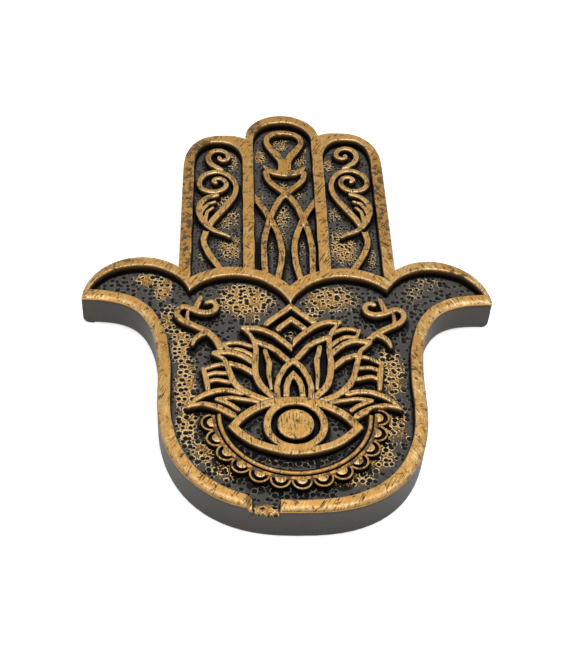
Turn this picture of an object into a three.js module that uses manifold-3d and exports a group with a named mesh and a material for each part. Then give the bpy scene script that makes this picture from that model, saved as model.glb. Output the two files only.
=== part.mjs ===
// Hamsa incense holder: a flat hand-shaped tray with a raised rim and scrolled relief.
// Millimetres, +Z up. The hand lies on its back with the fingers along +Y, and the
// origin is under the middle of the hand, on the table.
import * as THREE from 'three';
import { mergeVertices } from 'three/addons/utils/BufferGeometryUtils.js';
import Module from 'manifold-3d';

const wasm = await Module();
wasm.setup();

// Outline of the hand, with heights up the hand measured from the wrist
const handLength = 180; // wrist to middle fingertip
const palmWidth = 81.6; // across the palm, below the thumbs
const wristRise = 44; // wrist to where the palm is at its full width
const leftWristSquareness = 2.4; // 2 makes a corner of the wrist an ellipse, more makes it squarer
const rightWristSquareness = 2.6;
const thumbSpan = 133.8; // across both thumbs
const thumbBackHeight = 20.1; // a thumb's oval back, from its centre to its top
const thumbRoot = 7.2; // a thumb's oval back starts this far inside the finger beside it
const thumbCentreRise = 81.1; // wrist to the centres of the thumbs' oval backs
const thumbUndersideRise = 81.9; // wrist to the level underside of the thumb tips
const thumbHollowBelow = 3.7; // pull of the palm's side towards the hollow under a thumb
const thumbHollowBeyond = 10; // pull of the thumb's underside away from that hollow
const fingersWidth = 72.2; // across the three fingers
const middleFingerWidth = 27.4;
const leftFingerDrop = 12.7; // middle fingertip down to the left fingertip
const rightFingerDrop = 9.8; // middle fingertip down to the right fingertip
const sideFingerWidth = 30; // from its outer side to where it passes behind the middle finger
const shoulderHeight = 20; // rounded part of a side finger's end
const shoulderSquareness = 2.4; // 2 makes the end an ellipse

// Bands of the raised rim
const rimWidth = 3.9;
const thumbTipRim = 1.2; // the rim thins towards the thumb tips
const thumbWindowHeight = 16.8; // oval window in a thumb, from its centre to its top
const thumbWindowRoot = 4.9; // a thumb's window starts this far inside the finger beside it
const dividerWidth = 3.9;
const dividerSpacing = 25.5; // between the middles of the two dividers
const dividerFootRise = 4.7; // crown of the arches to the lower end of a divider
const dividerTopDrop = 28; // middle fingertip down to the upper end of a divider
const archWidth = 4;
const archRadius = 19.3; // underside of each palm arch
const archSpacing = 36; // between the centres of the two arches
const archCentreRise = 74; // wrist to the centres of the two arches
const archEndInset = 0.2; // arch ends stop this far inside the finger windows
const sideWindowCrown = 12; // rounded part of a side finger's window

// Heights
const thickness = 12;
const recessDepth = 3.5;
const palmReliefHeight = 3;
const fingerReliefHeight = 2.5;

// Notch in the rim at the wrist, where a stick can lie
const notchWidth = 7.8;
const notchOffset = -8.5;

// Eye
const eyeCentreRise = 31.3;
const eyeLength = 40;
const eyeCornerDrop = 1; // corners sit a little below the pupil's centre
const eyeUpperBow = 11.5; // corners up to the top of the upper lid
const eyeLowerBow = 10.3; // corners down to the bottom of the lower lid
const eyelidWidth = 2.4;
const irisDiameter = 19.2;
const irisWidth = 2.1;
const pupilDiameter = 11; // seat for an incense cone

// Scalloped border below the eye
const borderCentreRise = 35.8;
const borderGap = 0.4; // between the eye's corners and the border
const ridgeWidth = 1.1;
const ridgeHeight = 2.4;
const borderStepWidth = 1.1; // low step inside the ridge
const borderStepHeight = 1.5;
const borderSweep = 176; // degrees
const scallopCount = 13;
const scallopPitch = 14.1; // degrees
const scallopTurn = 2.8; // degrees that the row is turned from the border's middle
const scallopReach = 2.2; // middle of the ridge out to the scallops' centres
const scallopPlateHeight = 0.9;
const scallopEdgeWidth = 0.7;
const scallopEdgeHeight = 2;
const beadDiameter = 3.6;
const beadSetback = 0.5; // from a scallop's middle towards the ridge
const beadHeight = 1.8;

// Stroke widths of the relief
const boldWidth = 2;
const mainWidth = 1.75;
const fineWidth = 1.3;
const bluntWidth = 1.4; // end of a bold stroke
const tipWidth = 0.9; // end of a stroke that runs out to a point
const neckWidth = 2.6; // stroke around the keyhole's neck
const footWidth = 3.2; // keyhole's foot, where both sides meet
const seam = 0.3; // gap between neighbouring pieces of relief
const reliefShift = 0.6; // the relief sits a little to the right of the hand's middle

// The hand-sculpted lotus opens a little higher on the right than on the left
const innerPetalLean = 0.05;
const outerPetalLean = 0.13;

// Motifs are drawn in percent of a panel's half width and height
const percent = 0.01;

// Places worked out from the sizes above
const wristY = -handLength / 2;
const fingertipY = handLength / 2;
const floorZ = thickness - recessDepth;
const palmReliefTop = floorZ + palmReliefHeight;
const fingerReliefTop = floorZ + fingerReliefHeight;
const palmHalf = palmWidth / 2;
const fingersHalf = fingersWidth / 2;
const middleHalf = middleFingerWidth / 2;
const palmSideY = wristY + wristRise;
const thumbTipX = thumbSpan / 2;
const thumbHalf = (thumbTipX - fingersHalf + thumbRoot) / 2;
const thumbX = thumbTipX - thumbHalf;
const thumbY = wristY + thumbCentreRise;
const thumbUndersideY = wristY + thumbUndersideRise;
const thumbWindowHalf = (thumbTipX - thumbTipRim - fingersHalf + thumbWindowRoot) / 2;
const thumbWindowX = thumbTipX - thumbTipRim - thumbWindowHalf;
const thumbWindowY = thumbY + thumbBackHeight - rimWidth - thumbWindowHeight;
const archX = archSpacing / 2;
const archY = wristY + archCentreRise;
const dividerInner = (dividerSpacing - dividerWidth) / 2;
const dividerOuter = (dividerSpacing + dividerWidth) / 2;
const sideWindowOuter = fingersHalf - rimWidth;
const sideMiddle = (dividerOuter + sideWindowOuter) / 2;
const archCuspY = archY + Math.sqrt(Math.max(archRadius ** 2 - archX ** 2, 0));
const dividerFootY = archY + archRadius + archWidth + dividerFootRise;
const dividerTopY = fingertipY - dividerTopDrop;
const eyeY = wristY + eyeCentreRise;
const eyeCornerY = eyeY - eyeCornerDrop;
const borderY = wristY + borderCentreRise;
const borderInner = Math.hypot(eyeLength / 2, borderY - eyeCornerY) + borderGap;
const ridgeInner = borderInner + borderStepWidth;
const ridgeOuter = ridgeInner + ridgeWidth;
const scallopRing = ridgeInner + ridgeWidth / 2 + scallopReach;

// Cutters reach past the hand above, below and all round
const cutterLow = -thickness;
const cutterHigh = 2 * thickness;
const farAway = handLength + thumbSpan;

// Curves are followed with chords that turn at most this far or run at most this long
const chordTurn = THREE.MathUtils.degToRad(13);
const chordLength = 5;
const fineStep = 0.2;
const cornerSteps = 20; // chords in a quarter of a squared-off ellipse
const undersideSteps = 32; // chords under a thumb
const borderSteps = 60; // chords round the scalloped border
const fewestSides = 20; // of a disc
const sidesPerRadius = 4; // large discs get more sides, so that they stay round
const cornerReach = 2; // a sharp corner of a stroke sticks out by at most this share of its half width
const foldLimit = 0.9; // an edge nearer to its stroke's middle than this share of its half width is folded

const gold = { color: 0xb9935c, roughness: 0.5, metalness: 0.35 };
const charcoal = { color: 0x3d3a38, roughness: 0.85, metalness: 0 };

// Closed mesh to solid and back
function toSolid(geometry) {
  const flat = geometry.index ? geometry.toNonIndexed() : geometry;
  flat.deleteAttribute('normal');
  flat.deleteAttribute('uv');
  const merged = mergeVertices(flat);
  return new wasm.Manifold(new wasm.Mesh({
    numProp: 3,
    vertProperties: new Float32Array(merged.attributes.position.array),
    triVerts: new Uint32Array(merged.index.array),
  }));
}

function toGeometry(solid) {
  const mesh = solid.getMesh();
  const geometry = new THREE.BufferGeometry();
  geometry.setAttribute('position', new THREE.BufferAttribute(mesh.vertProperties, 3));
  geometry.setIndex(new THREE.BufferAttribute(mesh.triVerts, 1));
  geometry.computeVertexNormals();
  return geometry;
}

function join(solids) {
  return solids.reduce((whole, next) => whole.add(next));
}

function cut(solid, cutters) {
  return cutters.reduce((rest, cutter) => rest.subtract(cutter), solid);
}

// A stroke trimmed by its neighbours keeps its main length
function mainBody(solid) {
  const bodies = solid.decompose();
  return bodies.reduce((best, body) => (body.volume() > best.volume() ? body : best));
}

// Straight-sided solid over an outline given as [x, y] points
function prism(points, low, high) {
  const shape = new THREE.Shape(points.map(([x, y]) => new THREE.Vector2(x, y)));
  const geometry = new THREE.ExtrudeGeometry(shape, { depth: high - low, bevelEnabled: false });
  geometry.translate(0, 0, low);
  return toSolid(geometry);
}

function box(left, front, right, back, low, high) {
  return prism([[left, front], [right, front], [right, back], [left, back]], low, high);
}

function oval(x, y, halfWidth, halfHeight, low, high) {
  const sides = Math.max(fewestSides, Math.ceil(halfWidth * sidesPerRadius));
  const points = [];
  for (let i = 0; i < sides; i += 1) {
    const angle = (2 * Math.PI * i) / sides;
    points.push([x + halfWidth * Math.cos(angle), y + halfHeight * Math.sin(angle)]);
  }
  return prism(points, low, high);
}

function disc(x, y, radius, low, high) {
  return oval(x, y, radius, radius, low, high);
}

// Quarter of a squared-off ellipse, from its top round to its right side
function superellipse(halfWidth, halfHeight, squareness) {
  const power = 2 / squareness;
  return Array.from({ length: cornerSteps + 1 }, (_, i) => {
    const angle = (Math.PI / 2) * (i / cornerSteps);
    return [halfWidth * Math.sin(angle) ** power, halfHeight * Math.abs(Math.cos(angle)) ** power];
  });
}

function mirrored(points) {
  return points.map(([x, y]) => [-x, y]).toReversed();
}

// Smooth curve through points, followed with as few chords as its bends allow
function smooth(points) {
  const spline = new THREE.CatmullRomCurve3(
    points.map(([x, y]) => new THREE.Vector3(x, y, 0)), false, 'centripetal');
  const count = Math.ceil(spline.getLength() / fineStep);
  const samples = spline.getSpacedPoints(count).map((p) => [p.x, p.y]);
  const kept = [samples[0]];
  let lastHeading = null;
  for (let i = 1; i < samples.length - 1; i += 1) {
    const [[beforeX, beforeY], [afterX, afterY]] = [samples[i - 1], samples[i + 1]];
    const heading = Math.atan2(afterY - beforeY, afterX - beforeX);
    lastHeading ??= heading;
    const turn = Math.abs(Math.atan2(Math.sin(heading - lastHeading), Math.cos(heading - lastHeading)));
    const [x, y] = kept[kept.length - 1];
    const run = Math.hypot(samples[i][0] - x, samples[i][1] - y);
    if (turn >= chordTurn || run >= chordLength) {
      kept.push(samples[i]);
      lastHeading = heading;
    }
  }
  kept.push(samples[samples.length - 1]);
  return kept;
}

// Unit direction square to a path at one of its points, lengthened at corners to keep the width
function sideways(path, i) {
  const before = path[Math.max(i - 1, 0)];
  const after = path[Math.min(i + 1, path.length - 1)];
  const here = path[i];
  const inward = new THREE.Vector2(here[0] - before[0], here[1] - before[1]).normalize();
  const outward = new THREE.Vector2(after[0] - here[0], after[1] - here[1]).normalize();
  const along = inward.clone().add(outward).normalize();
  const straight = i === 0 ? outward : inward;
  const stretch = Math.min(1 / Math.max(along.dot(straight), 0), cornerReach);
  return [-along.y * stretch, along.x * stretch];
}

function offsetPath(path, distance) {
  return path.map(([x, y], i) => {
    const [dx, dy] = sideways(path, i);
    return [x + dx * distance, y + dy * distance];
  });
}

// Width at a share of the way along a stroke, from one value or from a list spread along it
function widthAt(width, share) {
  if (!Array.isArray(width)) {
    return width;
  }
  const place = share * (width.length - 1);
  const i = Math.min(Math.floor(place), width.length - 2);
  return THREE.MathUtils.lerp(width[i], width[i + 1], place - i);
}

// Outline of a stroke: its path widened to both sides, with round ends
function strokeOutline(path, width, extra) {
  const runs = [0];
  for (let i = 1; i < path.length; i += 1) {
    runs.push(runs[i - 1] + Math.hypot(path[i][0] - path[i - 1][0], path[i][1] - path[i - 1][1]));
  }
  const halves = runs.map((run) => widthAt(width, run / runs.at(-1)) / 2 + extra);
  const oneSide = (sign) => path.map(([x, y], i) => {
    const [dx, dy] = sideways(path, i);
    return [x + sign * dx * halves[i], y + sign * dy * halves[i]];
  });
  // the inner side of a bend tighter than the stroke would fold over itself
  const unfolded = (point, i, side) => i === 0 || i === side.length - 1
    || path.every(([x, y], j) => Math.hypot(point[0] - x, point[1] - y) > foldLimit * halves[j]);
  const left = oneSide(1).filter(unfolded);
  const right = oneSide(-1).filter(unfolded);
  const farEnd = roundEnd(right.at(-1), left.at(-1));
  const nearEnd = roundEnd(left[0], right[0]);
  return [...right, ...farEnd, ...left.toReversed(), ...nearEnd];
}

// Two points that round the end of a stroke between its right and left corners
function roundEnd(from, to) {
  const middle = [(from[0] + to[0]) / 2, (from[1] + to[1]) / 2];
  const half = [from[0] - middle[0], from[1] - middle[1]];
  return [Math.PI / 3, (2 * Math.PI) / 3].map((angle) => [
    middle[0] + half[0] * Math.cos(angle) - half[1] * Math.sin(angle),
    middle[1] + half[1] * Math.cos(angle) + half[0] * Math.sin(angle),
  ]);
}

// Relief drawn with strokes and stretched to a panel
function relief(strokes, place, high) {
  return join(strokes.map(({ path, width }) => prism(strokeOutline(path(place), width, 0), floorZ, high)));
}

// The same strokes widened by the seam, to cut back whatever meets them
function clearance(strokes, place) {
  const outlines = strokes.map(({ path, width }) => strokeOutline(path(place), width, seam));
  return join(outlines.map((outline) => prism(outline, cutterLow, cutterHigh)));
}

function curve(width, points) {
  return { width, path: (place) => smooth(points.map(place)) };
}

// Pointed arch, drawn from its tip down the right side
function pointedArch(width, points) {
  const path = (place) => {
    const right = smooth(points.map(place));
    const left = right.map(([x, y]) => [2 * reliefShift - x, y]).toReversed();
    return [...left.slice(0, -1), ...right];
  };
  return { width, path };
}

// Hand outline
function wristCurve(inset, squareness) {
  const curveDown = superellipse(palmHalf - inset, wristRise - inset, squareness);
  return curveDown.map(([x, y]) => [x, palmSideY - y]);
}

function thumbUnderside(inset) {
  const bend = new THREE.CubicBezierCurve(
    new THREE.Vector2(palmHalf, palmSideY),
    new THREE.Vector2(palmHalf, thumbUndersideY - thumbHollowBelow),
    new THREE.Vector2(palmHalf + thumbHollowBeyond, thumbUndersideY),
    new THREE.Vector2(thumbTipX, thumbUndersideY),
  );
  return offsetPath(bend.getSpacedPoints(undersideSteps).map((p) => [p.x, p.y]), inset);
}

// All that lies inside the palm's sides and above the thumbs' undersides
function palmField(inset, low, high) {
  const underside = thumbUnderside(inset);
  const [, lastY] = underside.at(-1);
  const topY = thumbY + thumbBackHeight;
  const side = [...underside.slice(1), [thumbSpan, lastY], [thumbSpan, topY]];
  const right = [...wristCurve(inset, rightWristSquareness), ...side];
  const left = mirrored([...wristCurve(inset, leftWristSquareness), ...side]);
  return prism([...right, ...left.slice(0, -1)], low, high);
}

// Finger with a rounded end, from its foot up to its tip
function finger({ x, halfWidth, tipY, crown, squareness }, low, high) {
  const right = superellipse(halfWidth, crown, squareness).map(([u, v]) => [u, tipY - crown + v]);
  const outline = [...mirrored(right).slice(0, -1), ...right, [halfWidth, archY], [-halfWidth, archY]];
  return prism(outline.map(([u, v]) => [x + u, v]), low, high);
}

function fingerTip(side) {
  return fingertipY - (side < 0 ? leftFingerDrop : rightFingerDrop);
}

function hand(low, high) {
  const palm = palmField(0, low, high).intersect(join([
    box(-thumbX, wristY, thumbX, thumbY, low, high),
    oval(-thumbX, thumbY, thumbHalf, thumbBackHeight, low, high),
    oval(thumbX, thumbY, thumbHalf, thumbBackHeight, low, high),
  ]));
  const sides = [-1, 1].map((side) => finger({
    x: side * (fingersHalf - sideFingerWidth / 2),
    halfWidth: sideFingerWidth / 2,
    tipY: fingerTip(side),
    crown: shoulderHeight,
    squareness: shoulderSquareness,
  }, low, high));
  const middle = finger({
    x: 0,
    halfWidth: middleHalf,
    tipY: fingertipY,
    crown: middleHalf,
    squareness: 2,
  }, low, high);
  return join([palm, ...sides, middle]);
}

// Windows of the rim, shrunk by an inset where relief has to stay clear of it
function archDiscs(radius) {
  const archMiddles = [-1, 1].map((side) => reliefShift + side * archX);
  return join(archMiddles.map((x) => disc(x, archY, radius, cutterLow, cutterHigh)));
}

function middleWindow(inset) {
  const half = dividerInner - inset;
  const bay = finger({
    x: 0,
    halfWidth: half,
    tipY: fingertipY - rimWidth - inset,
    crown: half,
    squareness: 2,
  }, cutterLow, cutterHigh);
  return bay.subtract(archDiscs(archRadius + archWidth + inset));
}

function sideWindow(side, inset) {
  const bay = finger({
    x: side * sideMiddle,
    halfWidth: (sideWindowOuter - dividerOuter) / 2 - inset,
    tipY: fingerTip(side) - rimWidth - inset,
    crown: sideWindowCrown - inset,
    squareness: shoulderSquareness,
  }, cutterLow, cutterHigh);
  return bay.subtract(archDiscs(archRadius + archWidth + inset));
}

function palmWindow(inset) {
  const field = palmField(rimWidth + inset, cutterLow, cutterHigh);
  const halfWidth = thumbWindowHalf - inset;
  const halfHeight = thumbWindowHeight - inset;
  const thumbs = [-1, 1].map((side) => (
    oval(side * thumbWindowX, thumbWindowY, halfWidth, halfHeight, cutterLow, cutterHigh)
  ));
  const palm = box(-thumbWindowX, wristY, thumbWindowX, archY, cutterLow, cutterHigh);
  return field.intersect(join([archDiscs(archRadius - inset), palm, ...thumbs]));
}

// Raised rim, its two dividers and the double arch under the fingers
function rimPieces() {
  const windows = [middleWindow(0), sideWindow(-1, 0), sideWindow(1, 0), palmWindow(0)];
  const notch = box(notchOffset - notchWidth / 2, wristY - rimWidth, notchOffset + notchWidth / 2,
    wristY + 2 * rimWidth, cutterLow, cutterHigh);
  const whole = cut(hand(floorZ, thickness), [...windows, notch]);
  const archEnd = sideWindowOuter - archEndInset;
  const bars = box(-dividerSpacing, dividerFootY, dividerSpacing, dividerTopY, cutterLow, cutterHigh);
  const arch = box(-archEnd, archY, archEnd, dividerFootY, cutterLow, cutterHigh);
  const rightHalf = box(0, -farAway, farAway, farAway, cutterLow, cutterHigh);
  const dividers = whole.intersect(bars);
  return {
    outer_rim: cut(whole, [bars, arch]),
    palm_arch: whole.intersect(arch),
    left_divider: dividers.subtract(rightHalf),
    right_divider: dividers.intersect(rightHalf),
  };
}

// Percent of a panel to millimetres, for one side of the hand
function onPanel(x, y, halfWidth, height, side) {
  return ([u, v]) => [x + side * u * percent * halfWidth, y + v * percent * height];
}

function sidePlace(side) {
  const footY = archY + archRadius;
  const height = fingerTip(side) - rimWidth - footY;
  return onPanel(side * sideMiddle, footY, (sideWindowOuter - dividerOuter) / 2, height, side);
}

function middlePlace(side) {
  const footY = archY + Math.sqrt((archRadius + archWidth) ** 2 - archX ** 2);
  const height = fingertipY - rimWidth - footY;
  return onPanel(reliefShift, footY, dividerInner, height, side);
}

// Lean stretches a motif upwards on the right side and shortens it on the left
function palmPlace(side, lean) {
  const place = onPanel(reliefShift, eyeY, palmHalf, archCuspY - eyeY, side);
  const eyeTop = eyeCornerY + eyeUpperBow;
  return (point) => {
    const [x, y] = place(point);
    return [x, y + side * lean * Math.max(y - eyeTop, 0)];
  };
}

// Motifs of a side finger, u outwards from the panel's middle and v up from its foot
const fingerLeaf = [
  curve([bluntWidth, boldWidth, boldWidth, mainWidth, tipWidth], [[2.3, 59.2], [36.8, 57.8], [65.5, 54],
    [77, 49.1], [72.4, 44.2], [57.5, 39.3], [34.5, 35.1], [4.6, 32], [-26.4, 30.2], [-47.1, 28.1]]),
  curve([tipWidth, fineWidth, fineWidth], [[11.5, 54.1], [36.8, 52.7], [54, 49.6], [69, 44.7]]),
  curve([tipWidth, fineWidth, fineWidth], [[19.5, 49.5], [39.1, 46.6], [47.1, 42.1], [48.3, 37.3]]),
];
const fingerScroll = [
  curve([bluntWidth, mainWidth, mainWidth, mainWidth, boldWidth, boldWidth], [[10.3, 68.7],
    [19.5, 70.4], [5.7, 72.1], [-16.1, 71.8], [-31, 69.1], [-29.9, 65.8], [-11.5, 62.8], [19.5, 61.6],
    [52.9, 62.7], [74.7, 66.2], [75.9, 70.7], [56.3, 74.9], [23, 77.3], [-12.6, 77.1], [-46, 74.3],
    [-66.7, 69.7], [-73.6, 64.8], [-67.8, 59.7], [-49.4, 54.6], [-23, 49.1], [5.7, 43.2], [28.7, 37.9],
    [42.5, 33.4]]),
];
const fingerHook = [
  curve([mainWidth, boldWidth, mainWidth, bluntWidth], [[-11.5, 79.2], [26.4, 83], [43.7, 87.7],
    [39.1, 92], [21.8, 94.2], [-3.4, 95], [-27.6, 93.7], [-40.2, 90.7], [-35.6, 87.8], [-19.5, 86.7],
    [-4.6, 87.5], [-2.3, 89.2]]),
];
const fingerStem = [
  curve(boldWidth, [[42.5, 33.7], [54, 27.3], [50.6, 22.4], [34.5, 16.8], [11.5, 11.6], [-11.5, 6.3],
    [-33.3, 1.4]]),
];

// Motifs of the middle finger, drawn for its right half
const keyhole = [
  curve([boldWidth, boldWidth, boldWidth, neckWidth, neckWidth, neckWidth], [[0, 94.4],
    [35.2, 93.5], [57.4, 90.5], [59.3, 87.1], [44.4, 83.1], [24.1, 79.1], [11.1, 75.4], [9.3, 68.6]]),
  curve([footWidth, neckWidth, tipWidth], [[0, 67], [27.8, 67.5], [53.7, 69], [69.4, 71.5]]),
];
const crossedStems = [
  curve(boldWidth, [[-64.8, 67.7], [-59.3, 63.8], [-36.1, 59.2], [-9.3, 55.5], [11.1, 52.7],
    [29.6, 48.6], [42.6, 44.2], [52.8, 39.7], [63.9, 33.9], [73.1, 27.7], [76.9, 21.4], [75.9, 15.1],
    [72.2, 4.6]]),
  curve(boldWidth, [[111.1, 53.4], [83.3, 47.1], [63, 41.9], [46.3, 36.8], [30.6, 30.5], [21.3, 24.2],
    [19.4, 17.4], [26.9, 10.5], [40.7, 1.1]]),
];

// Motifs of the palm, u from the middle and v from the pupil's centre up to the arches' cusp
const centrePetal = [
  pointedArch(mainWidth, [[0, 50.6], [5.4, 46.1], [9.6, 39.6], [12.6, 31], [12.8, 22.5],
    [12.3, 17.5]]),
];
const centrePetalHeart = [
  pointedArch(mainWidth, [[0, 39.3], [3.2, 35.7], [5.4, 30], [6.4, 23.1], [6.4, 18.1]]),
];
const outerChevron = [pointedArch(mainWidth, [[0, 98.1], [20, 81.8]])];
const innerChevron = [pointedArch(mainWidth, [[0, 86.4], [5.9, 82.2], [10.6, 77.3]])];
const innerPetal = [
  curve(mainWidth, [[38, 80.9], [29.1, 81.2], [20.5, 78.9], [12.3, 74.1], [5.9, 68.4], [-1.2, 61.7]]),
  curve(mainWidth, [[28.6, 68.7], [22.2, 66.2], [15.3, 62.9], [8.9, 57.8], [3, 51.2]]),
  curve([tipWidth, mainWidth, boldWidth, boldWidth], [[37.5, 80.3], [32.6, 75.5], [29.1, 68.3],
    [28.1, 58.8], [28.9, 48.8], [28.4, 39.6], [25.4, 31], [18.8, 23.7], [13.6, 19.1]]),
];
const petalVein = [
  curve([bluntWidth, mainWidth, fineWidth, tipWidth], [[21.2, 60.4], [19.6, 55], [18.2, 49.5], [18.8, 44],
    [18.6, 39], [17.2, 33], [17.2, 27.5]]),
];
const upperFin = [
  curve(fineWidth, [[52.3, 70.1], [46.9, 71.7], [40, 71.5], [32.1, 68.4]]),
  curve(fineWidth, [[49.1, 65], [42.5, 65.4], [35.8, 62.9], [30.4, 59.2]]),
  curve([tipWidth, fineWidth], [[53.3, 70.7], [50.9, 67.5], [49.4, 64.2]]),
];
const outerPetal = [
  curve(mainWidth, [[60.2, 61.7], [49.9, 62.6], [40, 59.8], [30.1, 52.8]]),
  curve(mainWidth, [[48.4, 51.8], [39.5, 49.1], [30.1, 42.6]]),
  curve([tipWidth, mainWidth, boldWidth, boldWidth], [[60.7, 61], [53.1, 56.1], [49.6, 48.5],
    [47.2, 39.3], [42, 30.2], [33.3, 23.6], [24.7, 19.8], [18.5, 17.3]]),
];
const lowerFin = [
  curve(fineWidth, [[66.9, 45.9], [61, 48.8], [53.1, 50.7]]),
  curve(fineWidth, [[65.7, 40.2], [59.3, 42.5], [50.6, 42.3]]),
  curve(fineWidth, [[64.7, 33.8], [58.8, 35.9], [48.1, 34.2]]),
  curve([fineWidth, boldWidth, mainWidth, fineWidth], [[68.1, 46.5], [66.2, 40.1], [64.9, 34],
    [64.2, 27.2]]),
];
const lowLeaf = [
  curve([tipWidth, mainWidth, mainWidth, mainWidth], [[78.3, 12.3], [74.1, 17.5], [66.7, 22.4],
    [57.5, 25.5], [48.1, 25.8], [39.5, 24]]),
  curve([tipWidth, boldWidth, boldWidth], [[78.3, 12.9], [68.6, 15.1], [60, 13.5], [51.9, 10.5],
    [45.2, 6.4]]),
];
const lowLeafStrands = [
  curve(fineWidth, [[57.3, 18.7], [49.4, 19.9], [37, 19.1], [27.2, 17.1]]),
  curve(fineWidth, [[57.3, 18.7], [48.9, 15.5], [41.5, 10.7]]),
];
const palmScroll = [
  curve([bluntWidth, boldWidth, mainWidth, boldWidth, boldWidth], [[66.8, 100.2], [64.4, 101.2],
    [61.2, 100.6], [59, 97.4], [60.8, 93.4], [66.8, 91.2], [74.1, 92.3], [79, 94.8], [84.7, 96.2],
    [89.1, 93.5], [89.4, 88.8], [85.7, 84.4], [78, 80.7], [70.4, 77.1], [63.7, 72.7], [58.5, 67.1],
    [55.3, 60.4]]),
  curve([fineWidth, boldWidth], [[71.6, 105.1], [72.8, 100.7], [75.6, 94.2]]),
  curve([tipWidth, fineWidth], [[81.2, 91.7], [81.7, 88.6], [81, 83.1]]),
  curve([mainWidth, mainWidth, tipWidth], [[65.7, 73.9], [70.6, 71.9], [75.1, 67.8], [76.8, 63.2]]),
];

// One finger's motifs, each cut back from those before it
function fingerRelief(side) {
  const place = sidePlace(side);
  const panel = sideWindow(side, seam);
  const draw = (strokes, others) => {
    const body = relief(strokes, place, fingerReliefTop).intersect(panel);
    return mainBody(cut(body, others.map((other) => clearance(other, place))));
  };
  return {
    finger_leaf: draw(fingerLeaf, []),
    finger_scroll: draw(fingerScroll, [fingerLeaf]),
    finger_hook: draw(fingerHook, [fingerScroll]),
    finger_stem: draw(fingerStem, [fingerLeaf, fingerScroll]),
  };
}

function middleRelief() {
  const panel = middleWindow(seam);
  const bothSides = [-1, 1].map(middlePlace);
  const draw = (strokes) => join(bothSides.map((place) => relief(strokes, place, fingerReliefTop)));
  const keyholeRoom = join(bothSides.map((place) => clearance(keyhole, place)));
  return {
    middle_keyhole: draw(keyhole).intersect(panel),
    middle_crossed_stems: mainBody(draw(crossedStems).intersect(panel).subtract(keyholeRoom)),
  };
}

// Eye: two lids as bowed bands, the iris ring between them and the pupil
function lidDiscs(inset) {
  const half = eyeLength / 2;
  const upperRadius = (half ** 2 + eyeUpperBow ** 2) / (2 * eyeUpperBow);
  const lowerRadius = (half ** 2 + eyeLowerBow ** 2) / (2 * eyeLowerBow);
  const upperY = eyeCornerY + eyeUpperBow - upperRadius;
  const lowerY = eyeCornerY - eyeLowerBow + lowerRadius;
  const upper = disc(reliefShift, upperY, upperRadius - inset, cutterLow, cutterHigh);
  const lower = disc(reliefShift, lowerY, lowerRadius - inset, cutterLow, cutterHigh);
  return upper.intersect(lower);
}

function eyePieces() {
  const slab = box(-eyeLength, eyeY - eyeLength, eyeLength, eyeY + eyeLength, floorZ, palmReliefTop);
  const outline = slab.intersect(lidDiscs(0));
  const irisRadius = irisDiameter / 2;
  const ring = disc(reliefShift, eyeY, irisRadius, floorZ, palmReliefTop);
  const hole = disc(reliefShift, eyeY, irisRadius - irisWidth, cutterLow, cutterHigh);
  const lids = outline.subtract(lidDiscs(eyelidWidth));
  const frame = join([lids, ring.intersect(lidDiscs(0))]).subtract(hole);
  return {
    eye_frame: frame,
    pupil_disc: disc(reliefShift, eyeY, pupilDiameter / 2, floorZ, palmReliefTop),
  };
}

// Sector ring around the border's centre, open upwards
function borderRing(inner, outer, low, high) {
  const half = THREE.MathUtils.degToRad(borderSweep / 2);
  const middle = -Math.PI / 2;
  const along = (radius) => Array.from({ length: borderSteps + 1 }, (_, i) => {
    const angle = middle - half + (2 * half * i) / borderSteps;
    return [reliefShift + radius * Math.cos(angle), borderY + radius * Math.sin(angle)];
  });
  return prism([...along(outer), ...along(inner).toReversed()], low, high);
}

function scallopPlaces() {
  const pitch = THREE.MathUtils.degToRad(scallopPitch);
  const middle = THREE.MathUtils.degToRad(scallopTurn) - Math.PI / 2;
  const radius = scallopRing * Math.sin(pitch / 2) - seam / 2;
  return Array.from({ length: scallopCount }, (_, i) => {
    const angle = middle + (i - (scallopCount - 1) / 2) * pitch;
    const x = reliefShift + scallopRing * Math.cos(angle);
    const y = borderY + scallopRing * Math.sin(angle);
    return { x, y, radius };
  });
}

function borderPieces() {
  const step = borderRing(borderInner, ridgeOuter, floorZ, floorZ + borderStepHeight);
  const ridge = borderRing(ridgeInner, ridgeOuter, floorZ, floorZ + ridgeHeight);
  const pieces = { border_band: join([step, ridge]) };
  const room = disc(reliefShift, borderY, ridgeOuter + seam, cutterLow, cutterHigh);
  scallopPlaces().forEach(({ x, y, radius }, i) => {
    const plate = disc(x, y, radius, floorZ, floorZ + scallopPlateHeight);
    const edge = disc(x, y, radius, floorZ, floorZ + scallopEdgeHeight)
      .subtract(disc(x, y, radius - scallopEdgeWidth, cutterLow, cutterHigh));
    const inwards = beadSetback / scallopRing;
    const beadX = THREE.MathUtils.lerp(x, reliefShift, inwards);
    const beadY = THREE.MathUtils.lerp(y, borderY, inwards);
    const bead = disc(beadX, beadY, beadDiameter / 2, floorZ, floorZ + beadHeight);
    const name = `scallop_${String(i + 1).padStart(2, '0')}`;
    pieces[name] = mainBody(join([plate, edge, bead]).subtract(room));
  });
  return pieces;
}

// Room that the palm's leaves leave for the border
function borderRoom() {
  const scallops = scallopPlaces().map(({ x, y, radius }) => (
    disc(x, y, radius + seam, cutterLow, cutterHigh)
  ));
  return join([borderRing(borderInner - seam, ridgeOuter + seam, cutterLow, cutterHigh), ...scallops]);
}

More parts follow.
